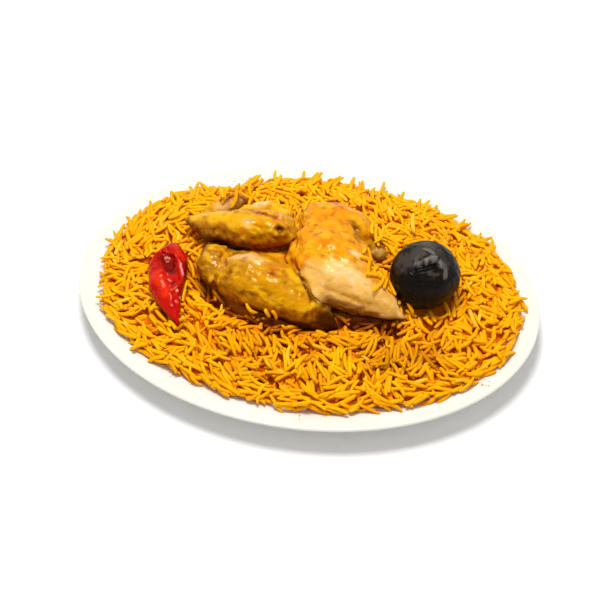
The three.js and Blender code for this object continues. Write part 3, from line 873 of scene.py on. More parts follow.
chilli = {
    "voxel": 0.5,  # mm
    "smoothing": 8,
    "lumps": ((0.35, 6, 6), (0.18, 2.6, 7)),
    "ragged": ((0.25, 2.5, 20),),
    "swell": 0.2,
    "mottle": 0.3,
    "roughness": (0.2, 0.34),
    "relief": (0.3, 0.6),
    "finish": {
        "Specular IOR Level": 0.4,
        "Specular Tint": (1.0, 0.4, 0.3, 1),
        "Subsurface Weight": 0.05,
        "Subsurface Radius": (1.0, 0.2, 0.1),
        "Subsurface Scale": 2 * mm,
    },
    "tones": {
        "red": linear(194, 11, 2),
        "orangeRed": linear(228, 44, 4),
        "deepRed": linear(112, 2, 1),
        "paleRed": linear(238, 104, 74),
        "glint": linear(250, 176, 160),
    },
    "folds": (
        (((-92.2, -10.1, 38.6), (-88.7, -16.2, 39.8), (-86.6, -22.9, 44)), 4, 1.2),
        (((-97.1, -3, 40.7), (-93.5, -3.5, 40.5), (-88.3, -5.4, 41.3), (-82, -13.9, 43)), 1.2, -0.9),
        (((-82, -13.9, 43), (-78.6, -22, 41.4), (-78, -27.7, 40.9), (-82.3, -37.1, 42.8)), 1.1, -0.9),
        (((-99.4, -20.2, 41.9), (-93.1, -21.8, 43), (-87.3, -26.5, 45.4)), 1.1, -0.7),
        (((-90.5, -28.5, 44), (-86.5, -35, 43.5)), 1.6, 0.7),
        (((-81.8, -33, 43.5), (-79, -41, 40.5)), 1.5, 0.6),
        (((-83.5, -12, 42.8), (-81, -22, 42.6)), 2, 0.6),
        (((-78.5, -43.5, 40), (-76.5, -47, 37.5)), 1.3, 0.5),
    ),
    "strokes": (
        # painted shade in the dent at the top and down the far right side
        (((-95, -8, 39.6), (-90.5, -12, 39.2), (-86.6, -21.9, 44)), 5.2, "deepRed", 0.95),
        (((-80, -9.3, 41.3), (-77.5, -17, 39.3), (-75.5, -27, 38), (-75.5, -38, 37)), 3.6, "deepRed", 0.75),
        (((-95.9, -25.4, 42.2), (-89.6, -33.4, 43), (-86.2, -38.5, 41.7)), 4.6, "orangeRed", 0.9),
        (((-91.3, -0.8, 43.1), (-86, -3.6, 42.8), (-81.5, -8, 42.4)), 2.6, "orangeRed", 0.7),
        # painted highlights along the ridges
        (((-97.1, -3, 40.7), (-93.5, -3.5, 40.5), (-88.3, -5.4, 41.3), (-82, -13.9, 43)),
         0.9, "paleRed", 0.7),
        (((-82, -13.9, 43), (-78.6, -22, 41.4), (-78, -27.7, 40.9)), 1, "glint", 0.7),
        (((-78, -27.7, 40.9), (-79.4, -32.3, 41.9), (-82.3, -37.1, 42.8)), 0.9, "paleRed", 0.8),
        (((-99.4, -20.2, 41.9), (-93.1, -21.8, 43), (-87.3, -26.5, 45.4)), 0.8, "paleRed", 0.7),
        # painted shade in a small dent
        (((-84.2, -30, 43.8), (-80.6, -32, 42.6)), 1.8, "deepRed", 0.6),
        # painted highlight spots
        (((-79.1, -35.3, 41.3),), 1.2, "glint", 0.9),
        (((-76, -38.5, 38.5),), 1.5, "glint", 0.8),
        (((-77.5, -42.8, 38.6),), 1.3, "paleRed", 0.8),
    ),
}


def makeChilliMaterial():
    material, tree, shader = startMaterial("chilliSkin")
    cloud = useGroup(tree, mottle, Size=8.0, Seed=9.0)
    shade = mathNode(tree, "MULTIPLY", cloud["Patches"], chilli["mottle"])
    color = blendColors(tree, shade, readTone(tree), chilli["tones"]["deepRed"])
    feed(tree, shader.inputs["Base Color"], color)
    feed(tree, shader.inputs["Roughness"], remap(tree, cloud["Flecks"], 0.0, 1.0, *chilli["roughness"]))
    setInputs(shader, chilli["finish"])
    bumpInto(tree, shader, useGroup(tree, fineSkin, Size=2.6)["Height"], *chilli["relief"])
    return material


def makeChilli():
    piece = remeshed("redChilli", "red_chilli", chilli)
    points, normals = pointsOf(piece), normalsOf(piece)
    lumps = lumpsAt(points, chilli["lumps"])
    points = points + normals * (chilli["swell"] + lumps - foldDepth(points, chilli["folds"]))[:, None]
    placePoints(piece, points)
    tone = np.tile(np.array(chilli["tones"]["red"][:3]), (len(points), 1))
    brushStrokes(tone, chilli["tones"], points, chilli["strokes"], lumpsAt(points, chilli["ragged"]))
    # painted shade: faces that turn down are painted deep red
    brush(tone, chilli["tones"]["deepRed"], smoothStep(0.4, -0.3, normalsOf(piece)[:, 2]) * 0.8)
    storeTone(piece, tone)
    return dress(piece, makeChilliMaterial(), "red_chilli")


redChilli = makeChilli()
print("stage: chilli made")


rice = {
    "seed": 20,
    "cell": 0.6,  # mm, of the height map that the grains settle on
    "surveyStep": 4,  # cells of it, between the places where the heap is measured
    "coreStep": 5,  # cells of it, between the points of the bed
    "coreDepth": 3.8,  # of the bed below the heap's surface
    "frontDepth": 1.4,  # more of it at the front, where the gaps are darker
    "grains": 22000,  # tried, of which the buried ones are left out
    "choices": 6,  # places tried for each grain, of which the lowest takes it
    "settle": 1.5,  # how far a soft grain sinks onto those below it
    "buried": 1.3,  # how far below the others a grain is left out
    "steepest": 0.8,
    "tilted": 0.12,  # share of the grains that lie more steeply
    "swirl": 0.78,  # share of the grains that follow their neighbours
    # a grain's rings: place along half its length, and share of its thickness
    "rings": ((-1, 0.34), (-0.9, 0.76), (-0.55, 0.97), (0, 1), (0.55, 0.95), (0.9, 0.7), (1, 0.28)),
    "sides": 8,
    "flatness": 0.82,
    "kinds": {  # length and width in mm, bend as a share of the length, and how often
        "Long": (15.5, 2.8, 0.08, 0.22),
        "Bent": (15.0, 2.7, 0.2, 0.26),
        "Slim": (14.0, 2.45, 0.12, 0.2),
        "Plump": (13.0, 3.1, 0.1, 0.18),
        "Broken": (8.6, 2.75, 0.06, 0.14),
    },
    "tufts": ((18, 2.2, 31), (8.5, 1.3, 32)),  # size and height of the unevenness, and its seed
    # hollows: path in mm, reach and depth
    "hollows": (
        (((-59, -30), (-46, -38), (-28, -43), (-12, -45)), 5, 7),
        (((6, -44), (20, -40), (31, -35), (48, -33), (64, -33)), 6, 7),
        (((-70, -10), (-66, -20), (-60, -28)), 5, 6),
        (((-50, -68), (-32, -70), (-20, -66)), 4, 3),
        (((-78, -52), (-66, -60)), 4, 2.5),
        (((8, -66), (24, -69)), 4, 3),
        (((40, -60), (54, -54)), 4, 2.5),
        (((-6, -84), (8, -86)), 3.5, 2),
    ),
    # where dark juices colour the rice, and where painted shade darkens it under the chicken's front, in the
    # hollows and over the front: path in mm, reach and strength
    "juiceAndShadeMarks": (
        # under the chicken's front: the juices' colour, and painted shadow under the overhang
        (((-59, -28), (-46, -37), (-28, -42), (-10, -44)), 7, 0.9),
        (((10, -38), (31, -33), (48, -31), (64, -31)), 10, 1),
        (((-70, -8), (-66, -20), (-60, -27)), 6, 0.8),
        (((52, -38), (62, -38)), 6, 0.8),
        # further out, in the hollows and over the front: painted shade
        (((-50, -68), (-32, -70), (-20, -66)), 5, 0.5),
        (((-78, -52), (-66, -60)), 5, 0.4),
        (((8, -66), (24, -69)), 5, 0.45),
        (((40, -60), (54, -54)), 5, 0.4),
        (((-88, -40), (-84, -30)), 4, 0.4),
        (((84, -30), (92, -22)), 5, 0.4),
        (((-40, -56), (10, -54), (50, -48)), 9, 0.3),
        (((-30, -78), (30, -80)), 9, 0.22),
        (((56, -62), (95, -44)), 12, 0.45),
    ),
    # small random hollows, their rice darkened as painted shade
    "pits": {"size": 8, "seed": 33, "from": 0.22, "full": 0.6, "depth": 3.2, "juiceAndShade": 0.5},
    # toppings that the rice partly covers: path in mm, reach and thickness of the rice
    "covers": ((((-64, 50), (-58, 58), (-52, 70)), 10.5, 5.0), (((40, 34), (47, 31)), 5.5, 3.0)),
    # the edge stands back here: path in mm and reach
    "bare": ((((-94, 80), (-81, 82), (-69, 86)), 8.5),),
    "bareSetback": 7,  # of the bed behind that edge
    # bunches of grains that stick out over the edge: x and y in mm, turn in degrees, and how many
    "edgeTufts": (
        (-134, 20, 105, 2), (-133, 9, 160, 2), (-127, 25, 130, 2), (-117, 43, 120, 3),
        (-104, 55, 110, 4), (-97, 62, 90, 4), (-60, 80, 65, 4), (-35, 88, 80, 2), (-25, 90, 60, 2),
        (-14, 93, 60, 3), (-6, 92, 80, 2), (1, 91, 65, 3), (18, 90, 70, 3), (35, 90, 95, 1),
        (50, 85, 100, 1), (60, 86, 60, 2), (70, 83, 50, 3), (80, 79, 35, 2), (90, 72, 40, 3),
        (105, 60, 45, 3), (113, 50, 50, 3), (124, 36, 30, 2), (131, 14, 10, 2), (134, 2, -10, 2),
        (-127, -20, 190, 2), (-129, -9, 175, 2), (-124, -32, 215, 2), (126, -30, -30, 2),
    ),
    # single grains dropped on the rim and the leg: x and y in mm, turn in degrees, and kind
    "loose": (
        (44, -2, 140, "Bent"), (46.5, -4, 35, "Slim"), (49, -7, 100, "Long"), (51, -9.5, 20, "Bent"),
        (53.5, -12, 75, "Slim"), (50, -4, 160, "Plump"), (54.5, -8, 50, "Bent"), (57, -11, 110, "Long"),
        (58.5, -14.5, 30, "Slim"), (47, -9, 170, "Broken"), (136.5, 12, 40, "Broken"),
        (138, -8, 100, "Slim"), (126, -46, 20, "Bent"), (49.5, -18, 64, "Long"),
        (45, -11.5, 25, "Bent"), (41.2, -7, 95, "Slim"), (38.5, -2, 20, "Plump"), (40, 2, 120, "Bent"),
        (36, 5, 70, "Broken"), (45, -5, 60, "Broken"), (-52, 51, 20, "Bent"), (-50, 53, 85, "Long"),
        (-49, 55, 140, "Slim"), (-50, 57, 35, "Plump"), (-47, 58, 110, "Bent"),
        (-49, 60.5, 160, "Long"), (-46, 62, 60, "Slim"), (-50, 63.5, 10, "Bent"),
        (-45, 55, 95, "Plump"),
    ),
    # single grains that lean: both ends in mm, kind, and paleness
    "leaning": (
        ((66.9, -13.4, 46.5), (74.0, -21, 39), "Long", 0.5),
        ((-32.6, -39.9, 44.3), (-24.3, -41.2, 37.3), "Bent", 0.5),
        ((-19.1, -41.5, 44.2), (-16, -42, 38), "Broken", 0.5),
        ((-14, -42.1, 45.2), (-10.8, -43, 38.4), "Slim", 0.5),
        ((62.9, 49, 39), (60.2, 60, 47), "Plump", 1.0),
    ),
    # crumbs on the rim: x and y in mm
    "crumbs": (
        (139, 9), (140, 4), (140.5, -2), (138, -14), (127, -50), (129, -54), (-64, 92), (-56, 95),
        (-45, 98), (-71, 89), (16, -103), (118, -74), (-128, 34), (-70, -88), (134, -30), (-98, 70),
    ),
    "yellow": linear(255, 188, 2),
    "amber": linear(246, 136, 2),
    "pale": linear(255, 210, 66),
    "deep": linear(228, 118, 1),
    "juiceAndShade": linear(124, 38, 0),
    "amberPatches": (0.2, 0.16),  # broad and fine
    "roughness": (0.42, 0.6),
    "relief": (0.4, 0.35),
    "finish": {
        "Specular IOR Level": 0.35,
        "Specular Tint": (1.0, 0.7, 0.15, 1),
        "Subsurface Weight": 0.3,
        "Subsurface Radius": (1.0, 0.55, 0.08),
        "Subsurface Scale": 1.4 * mm,
    },
    "bedFinish": {"Roughness": 0.6, "Specular IOR Level": 0.05},
    "bedMottle": 0.6,
    "bedRelief": (0.5, 1.0),
}
highUp = 120  # mm, above everything, where rays start down
down = Vector((0, 0, -1))


def blurred(values, weight, reach):
    # a repeated box blur that only counts cells with weight
    for _ in range(3):
        for axis in (0, 1):
            total, share = np.zeros_like(values), np.zeros_like(values)
            for step in range(-reach, reach + 1):
                total += np.roll(values * weight, step, axis)
                share += np.roll(weight, step, axis)
            values = np.where(share > 0, total / np.maximum(share, 1e-9), values)
            weight = np.clip(share, 0, 1)
    return values


def treeOf(piece):
    corners = [tuple(p) for p in pointsOf(piece)]
    return BVHTree.FromPolygons(corners, [tuple(f.vertices) for f in piece.data.polygons])


class HeightMap:
    def __init__(self):
        self.cell = rice["cell"]
        self.halfX, self.halfY = plate["halfLength"] + 4, plate["halfWidth"] + 4
        self.countX = int(2 * self.halfX / self.cell)
        self.countY = int(2 * self.halfY / self.cell)
        xs = (np.arange(self.countX) + 0.5) * self.cell - self.halfX
        ys = (np.arange(self.countY) + 0.5) * self.cell - self.halfY
        self.x, self.y = np.meshgrid(xs, ys, indexing="ij")
        self.ground = np.column_stack((self.x.ravel(), self.y.ravel()))

    def awayFrom(self, path):
        return distanceToPath(self.ground, path).reshape(self.x.shape)

    def index(self, x, y):
        i = np.clip(((x + self.halfX) / self.cell).astype(int), 0, self.countX - 1)
        j = np.clip(((y + self.halfY) / self.cell).astype(int), 0, self.countY - 1)
        return i, j


def surveyHeap(grid):
    # heights of the CAD heap and of the toppings, seen from above, on a coarse grid
    heapTree = treeOf(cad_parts["rice_heap"])
    toppings = [treeOf(p) for p in (halfChicken, driedLime, redChilli)]
    step = rice["surveyStep"]
    heap = np.full((grid.countX // step, grid.countY // step), -1.0)
    tops = heap.copy()
    for i in range(heap.shape[0]):
        for j in range(heap.shape[1]):
            start = Vector((grid.x[i * step + step // 2, 0], grid.y[0, j * step + step // 2], highUp))
            hit = heapTree.ray_cast(start, down)[0]
            if hit is not None:
                heap[i, j] = hit.z
                hits = [t.ray_cast(start, down)[0] for t in toppings]
                tops[i, j] = max([h.z for h in hits if h is not None], default=-1.0)
    return heap, tops, toppings


def spread(grid, coarse):
    # coarse values to the fine grid, by bilinear steps
    step = rice["surveyStep"]
    fi = np.clip((np.arange(grid.countX) - step / 2 + 0.5) / step, 0, coarse.shape[0] - 1.001)
    fj = np.clip((np.arange(grid.countY) - step / 2 + 0.5) / step, 0, coarse.shape[1] - 1.001)
    i, j = fi.astype(int), fj.astype(int)
    u, v = (fi - i)[:, None], (fj - j)[None, :]
    low = coarse[np.ix_(i, j)] * (1 - v) + coarse[np.ix_(i, j + 1)] * v
    high = coarse[np.ix_(i + 1, j)] * (1 - v) + coarse[np.ix_(i + 1, j + 1)] * v
    return low * (1 - u) + high * u


def bedMesh(grid, bed, plateHeight, zone):
    # the dark bed below the grains, its deep orange painted shade of the rice beneath: a closed mesh over a
    # grid of cells
    step = rice["coreStep"]
    xs, ys, top, low, keep = (v[::step, ::step] for v in (grid.x, grid.y, bed, plateHeight, zone))
    names, points = {}, []
    for i, j in zip(*np.nonzero(keep)):
        names[i, j] = len(points)
        points.append((xs[i, j], ys[i, j], max(top[i, j], low[i, j] + 0.6)))
        points.append((xs[i, j], ys[i, j], low[i, j] + 0.25))
    faces, sides = [], {}
    for i, j in names:
        ring = [(i, j), (i + 1, j), (i + 1, j + 1), (i, j + 1)]
        if all(r in names for r in ring):
            faces.append([names[r] for r in ring])
            faces.append([names[r] + 1 for r in reversed(ring)])
            for a, b in zip(ring, ring[1:] + ring[:1]):
                if sides.pop((b, a), None) is None:
                    sides[a, b] = True
    for a, b in sides:
        faces.append([names[b], names[a], names[a] + 1, names[b] + 1])
    return points, faces


def grainShape(kind, draw):
    # rings of points round a bent middle line, thin at both ends, along x
    length, width, bend, _ = rice["kinds"][kind]
    length *= draw.uniform(0.84, 1.14)
    width *= draw.uniform(0.9, 1.1)
    bend *= draw.uniform(-1, 1.3) * length
    sides = rice["sides"]
    along, thickness = np.array(rice["rings"], float).T
    half = width / 2 * thickness
    if kind == "Broken":
        half[-2:] = width / 2 * np.array([0.88, 0.66])
    turn = 2 * np.pi * np.arange(sides) / sides
    points = np.zeros((len(along), sides, 3))
    points[:, :, 0] = (along * length / 2)[:, None]
    points[:, :, 1] = half[:, None] * np.cos(turn) + (bend * (along**2 - 0.4))[:, None]
    curl = draw.normal(0, 0.03) * length
    points[:, :, 2] = rice["flatness"] * half[:, None] * np.sin(turn) + curl * (along**2 - 0.4)[:, None]
    return points.reshape(-1, 3), length, width


def grainFaces(count):
    sides, rings = rice["sides"], len(rice["rings"])
    faces = []
    for k in range(count):
        first = k * sides * rings
        for ring in range(rings - 1):
            here, ahead = first + ring * sides, first + (ring + 1) * sides
            for j in range(sides):
                nxt = (j + 1) % sides
                faces.append((here + j, here + nxt, ahead + nxt, ahead + j))
        faces.append(tuple(range(first, first + sides))[::-1])
        faces.append(tuple(range(first + (rings - 1) * sides, first + rings * sides)))
    return faces


def grainPoints(shape, middle, ahead, side, roll):
    # the grain's points at its place: ahead is its long way, side lies across it
    up = np.cross(ahead, side)
    across = math.cos(roll) * side + math.sin(roll) * up
    upward = math.cos(roll) * up - math.sin(roll) * side
    return middle + shape[:, :1] * ahead + shape[:, 1:2] * across + shape[:, 2:] * upward


def clearOf(toppings, middleLine, width):
    for point in middleLine:
        spot = Vector(point)
        for tree in toppings:
            near, normal, _, gap = tree.find_nearest(spot)
            if gap < width * 0.3 or (spot - near).dot(normal) < 0:
                return False
    return True


def turnAt(x, y, calm, draw):
    # most grains follow their neighbours, along the edge where they are near it, and the rest lie anyhow
    turn = draw.uniform(0, 2 * np.pi)
    if draw.random() < rice["swirl"] + 0.2 * (1 - calm):
        swirl = noise.noise(Vector((x / 26, y / 26, 5.5))) + 0.7 * noise.noise(Vector((x / 12, y / 12, 9.5)))
        turn = math.atan2(x / 20, -y / 10) + (0.5 + 1.6 * calm) * swirl + draw.normal(0, 0.24 + 0.12 * calm)
    return turn


def restOn(under, spots):
    # a grain rests on the two points that hold its middle highest: its slope and height there
    slopes = (under[restRight] - under[restLeft]) / (spots[restRight] - spots[restLeft])
    middles = under[restLeft] - slopes * spots[restLeft]
    hold = np.argmax(middles)
    slope = float(np.clip(slopes[hold], -rice["steepest"], rice["steepest"]))
    return slope, max(middles[hold], under[4])


stations = np.linspace(-0.46, 0.46, 9)  # along a grain, as shares of its length
restLeft, restRight = np.array([(i, j) for i in range(4) for j in range(5, 9)]).T


def settleGrains(grid, height, target, openCells, nearTopping, inside, toppings):
    draw = np.random.default_rng(rice["seed"])
    names = list(rice["kinds"])
    odds = np.array([rice["kinds"][k][3] for k in names])
    settled = []
    halfThick = rice["flatness"] / 2  # of its width
    heapI, heapJ = np.nonzero(openCells)
    for _ in range(rice["grains"]):
        # the lowest of a few places takes the grain, so that the heap fills evenly
        pick = draw.integers(len(heapI), size=rice["choices"])
        room = target[heapI[pick], heapJ[pick]] - height[heapI[pick], heapJ[pick]]
        best = pick[np.argmax(room)]
        if room.max() < 0.0:
            continue
        kind = names[draw.choice(len(names), p=odds / odds.sum())]
        shape, length, width = grainShape(kind, draw)
        x, y = grid.x[heapI[best], 0] + draw.uniform(-1, 1), grid.y[0, heapJ[best]] + draw.uniform(-1, 1)
        turn = turnAt(x, y, inside[heapI[best], heapJ[best]], draw)
        flat = np.array([math.cos(turn), math.sin(turn)])
        spots = stations * length
        acrossSpots = np.array([-0.3, 0, 0.3]) * width
        px = x + spots[:, None] * flat[0] - acrossSpots[None, :] * flat[1]
        py = y + spots[:, None] * flat[1] + acrossSpots[None, :] * flat[0]
        i, j = grid.index(px, py)
        under = height[i, j].max(axis=1)
        slope, z = restOn(under, spots)
        if draw.random() < rice["tilted"]:
            slope = float(np.clip(slope + draw.normal(0, 0.4), -0.9, 0.9))
        onTopping = nearTopping[i, j].any()
        z += width * halfThick - (0 if onTopping else rice["settle"])
        z = max(z, (under - slope * spots).max() + width * halfThick - 2.0)
        if z > target[heapI[best], heapJ[best]] + 2.0:
            continue
        middleLine = np.column_stack((x + spots * flat[0], y + spots * flat[1], z + slope * spots))
        if onTopping and not clearOf(toppings, middleLine[::2], width):
            continue
        up = math.atan(slope)
        ahead = np.array([flat[0] * math.cos(up), flat[1] * math.cos(up), math.sin(up)])
        side = np.array([-flat[1], flat[0], 0.0])
        points = grainPoints(shape, np.array([x, y, z]), ahead, side, draw.uniform(-0.6, 0.6))
        top = z + slope * spots + width * halfThick
        settled.append((kind, points, middleLine, top, draw.random()))
        for across in (-0.36, -0.12, 0.12, 0.36):
            for shift in np.linspace(-0.5, 0.5, 5)[:-1] / 8:
                s = spots + shift * length
                px = x + s * flat[0] - across * width * flat[1]
                py = y + s * flat[1] + across * width * flat[0]
                level = top + slope * shift * length - 0.5 * abs(across) * width
                np.maximum.at(height, grid.index(px, py), level)
    return settled


def layLooseGrains(grid, height, plateTree, toppings, draw):
    # single grains that lie on the rim, on the chicken or on the rice beside it
    laid = []
    for x, y, degrees, kind in rice["loose"]:
        hits = [tree.ray_cast(Vector((x, y, highUp)), down) for tree in (plateTree, *toppings)]
        i, j = grid.index(np.array([x]), np.array([y]))
        hits.append((Vector((x, y, height[i, j][0])), -down))
        place, normal = max([hit[:2] for hit in hits if hit[0] is not None], key=lambda hit: hit[0].z)
        shape, _, width = grainShape(kind, draw)
        turn = math.radians(degrees)
        up = np.array(normal)
        ahead = np.array([math.cos(turn), math.sin(turn), 0.0])
        ahead -= (ahead @ up) * up
        ahead /= np.linalg.norm(ahead)
        side = np.cross(up, ahead)
        middle = np.array(place) + up * width * 0.36
        laid.append((kind, grainPoints(shape, middle, ahead, side, 0.0), draw.uniform(0.5, 1.0), 0.5))
    return laid


def layEdgeTufts(grid, height, draw):
    laid = []
    for x, y, degrees, count in rice["edgeTufts"]:
        for _ in range(count):
            kind = ("Long", "Slim", "Bent")[draw.integers(3)]
            shape, length, _ = grainShape(kind, draw)
            turn = math.radians(degrees + draw.normal(0, 18))
            rise = math.radians(draw.uniform(0, 12))
            footX, footY = x + draw.normal(0, 2.5), y + draw.normal(0, 2.5)
            i, j = grid.index(np.array([footX]), np.array([footY]))
            level = math.cos(rise)
            ahead = np.array([math.cos(turn) * level, math.sin(turn) * level, math.sin(rise)])
            side = np.array([-math.sin(turn), math.cos(turn), 0.0])
            middle = np.array([footX, footY, height[i, j][0] - 0.3]) + ahead * length * 0.16
            points = grainPoints(shape, middle, ahead, side, draw.uniform(-0.5, 0.5))
            laid.append((kind, points, draw.uniform(0.6, 1.0), 0.5))
    return laid


def layLeaningGrains(draw):
    laid = []
    for start, end, kind, paleness in rice["leaning"]:
        start, end = np.array(start, float), np.array(end, float)
        shape, length, _ = grainShape(kind, draw)
        reach = np.linalg.norm(end - start)
        ahead = (end - start) / reach
        shape[:, 0] *= reach / length
        side = np.cross([0.0, 0.0, 1.0], ahead)
        side /= np.linalg.norm(side)
        points = grainPoints(shape, (start + end) / 2, ahead, side, 0.0)
        laid.append((kind, points, draw.uniform(0.7, 1.0), paleness))
    return laid


def makeCrumbs(plateTree, material, draw):
    # small broken bits: eight-sided lumps, each pushed out of shape
    corners = np.array([(1, 0, 0), (0, 1, 0), (-1, 0, 0), (0, -1, 0), (0, 0, 0.7), (0, 0, -0.7)])
    sides = [(0, 1, 4), (1, 2, 4), (2, 3, 4), (3, 0, 4), (1, 0, 5), (2, 1, 5), (3, 2, 5), (0, 3, 5)]
    points, faces = [], []
    for x, y in rice["crumbs"]:
        for _ in range(3):
            spot = Vector((x + draw.normal(0, 1.6), y + draw.normal(0, 1.6), highUp / 2))
            place = plateTree.ray_cast(spot, down)[0]
            if place is None:
                continue
            size = draw.uniform(0.35, 0.85)
            first = len(points)
            lump = corners * size * draw.uniform(0.6, 1.3, (6, 3))
            points += (np.array(place) + (0, 0, size * 0.45) + lump).tolist()
            faces += [tuple(first + corner for corner in side) for side in sides]
    piece = meshPiece("riceCrumbs", points, faces, material, "rice_heap")
    addAttribute(piece, "raised", np.full(len(points), 1.0))


def makeRiceMaterial():
    material, tree, shader = startMaterial("riceGrain")
    cloud = useGroup(tree, mottle, Size=24.0, Seed=11.0)
    fine = useGroup(tree, mottle, Size=2.6, Seed=14.0)
    # grains that lie deep are painted amber as painted shade, those on top yellow, with random tone mixed in
    color = blendColors(tree, readAttribute(tree, "raised"), rice["amber"], rice["yellow"])
    color = blendColors(tree, remap(tree, readAttribute(tree, "paleness"), 0.95, 1.0), color, rice["pale"])
    for patches, share in zip((cloud["Patches"], fine["Patches"]), rice["amberPatches"]):
        color = blendColors(tree, mathNode(tree, "MULTIPLY", patches, share), color, rice["amber"])
    # dark juice colour and painted shade
    color = blendColors(tree, readAttribute(tree, "juiceAndShadeShare"), color, rice["juiceAndShade"])
    feed(tree, shader.inputs["Base Color"], color)
    feed(tree, shader.inputs["Roughness"], remap(tree, fine["Patches"], 0.0, 1.0, *rice["roughness"]))
    setInputs(shader, rice["finish"])
    bumpInto(tree, shader, useGroup(tree, fineSkin, Size=1.2)["Height"], *rice["relief"])
    return material


def makeBedMaterial():
    material, tree, shader = startMaterial("riceBed")
    cloud = useGroup(tree, mottle, Size=5.0, Seed=12.0)
    share = mathNode(tree, "MULTIPLY", cloud["Patches"], rice["bedMottle"])
    # the bed's deep orange is painted shade of the rice beneath, its amber patches are tone, and then juice
    # colour and painted shade go over it
    color = blendColors(tree, share, rice["deep"], rice["amber"])
    color = blendColors(tree, readAttribute(tree, "juiceAndShadeShare"), color, rice["juiceAndShade"])
    feed(tree, shader.inputs["Base Color"], color)
    setInputs(shader, rice["bedFinish"])
    bumpInto(tree, shader, cloud["Flecks"], *rice["bedRelief"])
    return material


def pitAt(x, y):
    pits = rice["pits"]
    cloud = noiseAt(np.column_stack((x, y, 0 * x)), pits["size"], pits["seed"])
    return smoothStep(pits["from"], pits["full"], cloud)


def juiceAndShadeAt(x, y):
    # juice colour and painted shade: in the pits, under the chicken and in the hollows
    share = rice["pits"]["juiceAndShade"] * pitAt(x, y)
    ground = np.column_stack((x, y))
    for path, reach, strength in rice["juiceAndShadeMarks"]:
        share = np.maximum(share, strength * smoothStep(1.0, 0.3, distanceToPath(ground, path) / reach))
    return share


def fillLevel(grid, heap, covered, edge):
    # the height that the grains fill up to: the heap's own, evened out, then with tufts, pits and hollows
    known = ((heap > 0) & (covered == 0)).astype(float)
    target = spread(grid, blurred(np.where(heap > 0, heap, 0), known, 2))
    even = target.copy()
    inner = smoothStep(0.5, 0.9, edge)
    step = rice["surveyStep"]
    x, y = grid.x[::step, ::step], grid.y[::step, ::step]
    flat = np.column_stack((x.ravel(), y.ravel(), np.zeros(x.size)))
    for size, rise, seed in rice["tufts"]:
        target += spread(grid, noiseAt(flat, size, seed).reshape(x.shape)) * rise * inner
    target -= rice["pits"]["depth"] * spread(grid, pitAt(x.ravel(), y.ravel()).reshape(x.shape)) * inner
    for path, reach, depth in rice["hollows"]:
        target -= depth * np.exp(-((grid.awayFrom(path) / reach) ** 2))
    return even, target


def makeBed(grid, heap, target, edge, plateHeight, zone):
    # the bed stays under the grains, and in the nests under the toppings
    depth = rice["coreDepth"] + rice["frontDepth"] * smoothStep(-15, -45, grid.y)
    nest = spread(grid, np.where(heap > 0, heap, 30))
    bed = np.minimum(target - depth * smoothStep(0.45, 0.9, edge), nest - 0.4)
    points, faces = bedMesh(grid, bed, plateHeight, zone)
    piece = meshPiece("riceBed", points, faces, makeBedMaterial(), "rice_heap")
    x, y, _ = np.array(points).T
    addAttribute(piece, "juiceAndShadeShare", juiceAndShadeAt(x, y))
    return np.where(zone, np.maximum(bed, plateHeight + 0.2), plateHeight)


def leaveOutBuried(grid, height, even, settled):
    kept = {name: [] for name in rice["kinds"]}
    for kind, points, middleLine, top, chance in settled:
        i, j = grid.index(middleLine[:, 0], middleLine[:, 1])
        if (height[i, j] - top).min() > rice["buried"]:
            continue
        # the deeper a grain lies below the heap's even surface, the more amber it is painted, as painted
        # shade; one draw gives each grain a random part of its tone, its paleness and its share of juice
        # colour and painted shade
        raised = smoothStep(-4.5, 0.8, middleLine[4, 2] - even[i[4], j[4]])
        tone = 0.7 * float(raised) + 0.3 * chance
        juiceAndShade = float(juiceAndShadeAt(middleLine[4:5, 0], middleLine[4:5, 1])[0])
        juiceAndShadeShare = juiceAndShade * (0.6 + 0.4 * ((chance * 3.7) % 1))
        kept[kind].append((points, tone, (chance * 7.3) % 1, juiceAndShadeShare))
    return kept


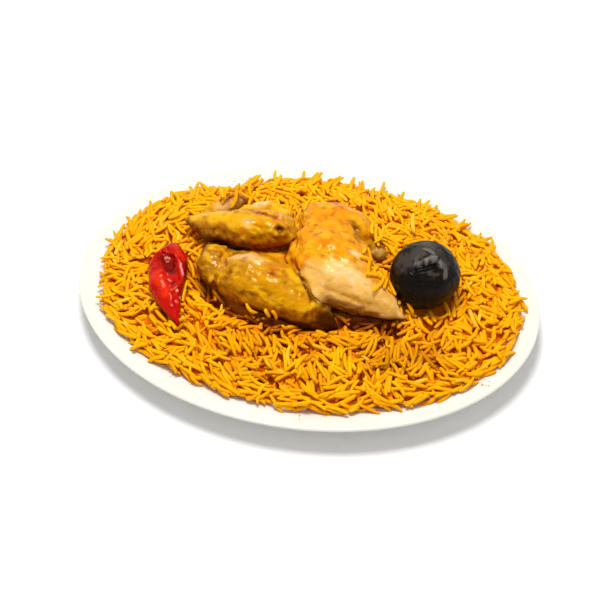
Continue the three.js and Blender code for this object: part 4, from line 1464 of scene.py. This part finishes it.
def makeGrains(kept, material):
    perGrain = len(rice["rings"]) * rice["sides"]
    total = 0
    for kind, grains in kept.items():
        points = np.concatenate([grain[0] for grain in grains])
        faces = grainFaces(len(grains))
        piece = meshPiece("riceGrains" + kind, points, faces, material, "rice_heap")
        for place, label in enumerate(("raised", "paleness", "juiceAndShadeShare"), 1):
            addAttribute(piece, label, np.repeat([grain[place] for grain in grains], perGrain))
        triangles = sum(len(f.vertices) - 2 for f in piece.data.polygons)
        total += triangles
        print("rice", kind, len(grains), "grains,", triangles, "triangles")
    print("rice triangles in all:", total)


def makeRice():
    grid = HeightMap()
    heap, tops, toppings = surveyHeap(grid)
    covered = (tops > 0).astype(float)
    share = spread(grid, (heap > 0).astype(float))
    edge = spread(grid, blurred((heap > 0).astype(float), np.ones_like(heap), 3))
    even, target = fillLevel(grid, heap, covered, edge)
    inHeap, bedZone = share > 0.45, share > 0.9
    for path, reach in rice["bare"]:
        away = grid.awayFrom(path)
        inHeap &= away > reach
        bedZone &= away > reach + rice["bareSetback"]
    plateHeight = plateTop(insetOf(grid.x, grid.y))
    target = np.maximum(target, plateHeight + 1.0)
    height = makeBed(grid, heap, target, edge, plateHeight, bedZone)
    hidden = spread(grid, covered)
    topsFine = spread(grid, tops)
    nearTopping = hidden > 0.001
    for path, reach, thickness in rice["covers"]:
        away = grid.awayFrom(path) / reach
        within = (away < 1) & (hidden > 0.5)
        height[within] = np.maximum(height, topsFine)[within]
        target[within] = np.maximum(target, topsFine + thickness * np.minimum(1, 2 * (1 - away)))[within]
        hidden[within] = 0
    inside = smoothStep(0.6, 0.98, edge)
    openCells = inHeap & (hidden < 0.999)
    settled = settleGrains(grid, height, target, openCells, nearTopping, inside, toppings)
    kept = leaveOutBuried(grid, height, even, settled)
    plateTree = treeOf(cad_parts["plate"])
    draw = np.random.default_rng(rice["seed"] + 1)
    single = layLooseGrains(grid, height, plateTree, toppings, draw) + layLeaningGrains(draw)
    for kind, points, tone, paleness in single + layEdgeTufts(grid, height, draw):
        kept[kind].append((points, tone, paleness, 0.0))
    material = makeRiceMaterial()
    makeCrumbs(plateTree, material, draw)
    makeGrains(kept, material)


makeRice()
print("stage: rice made")
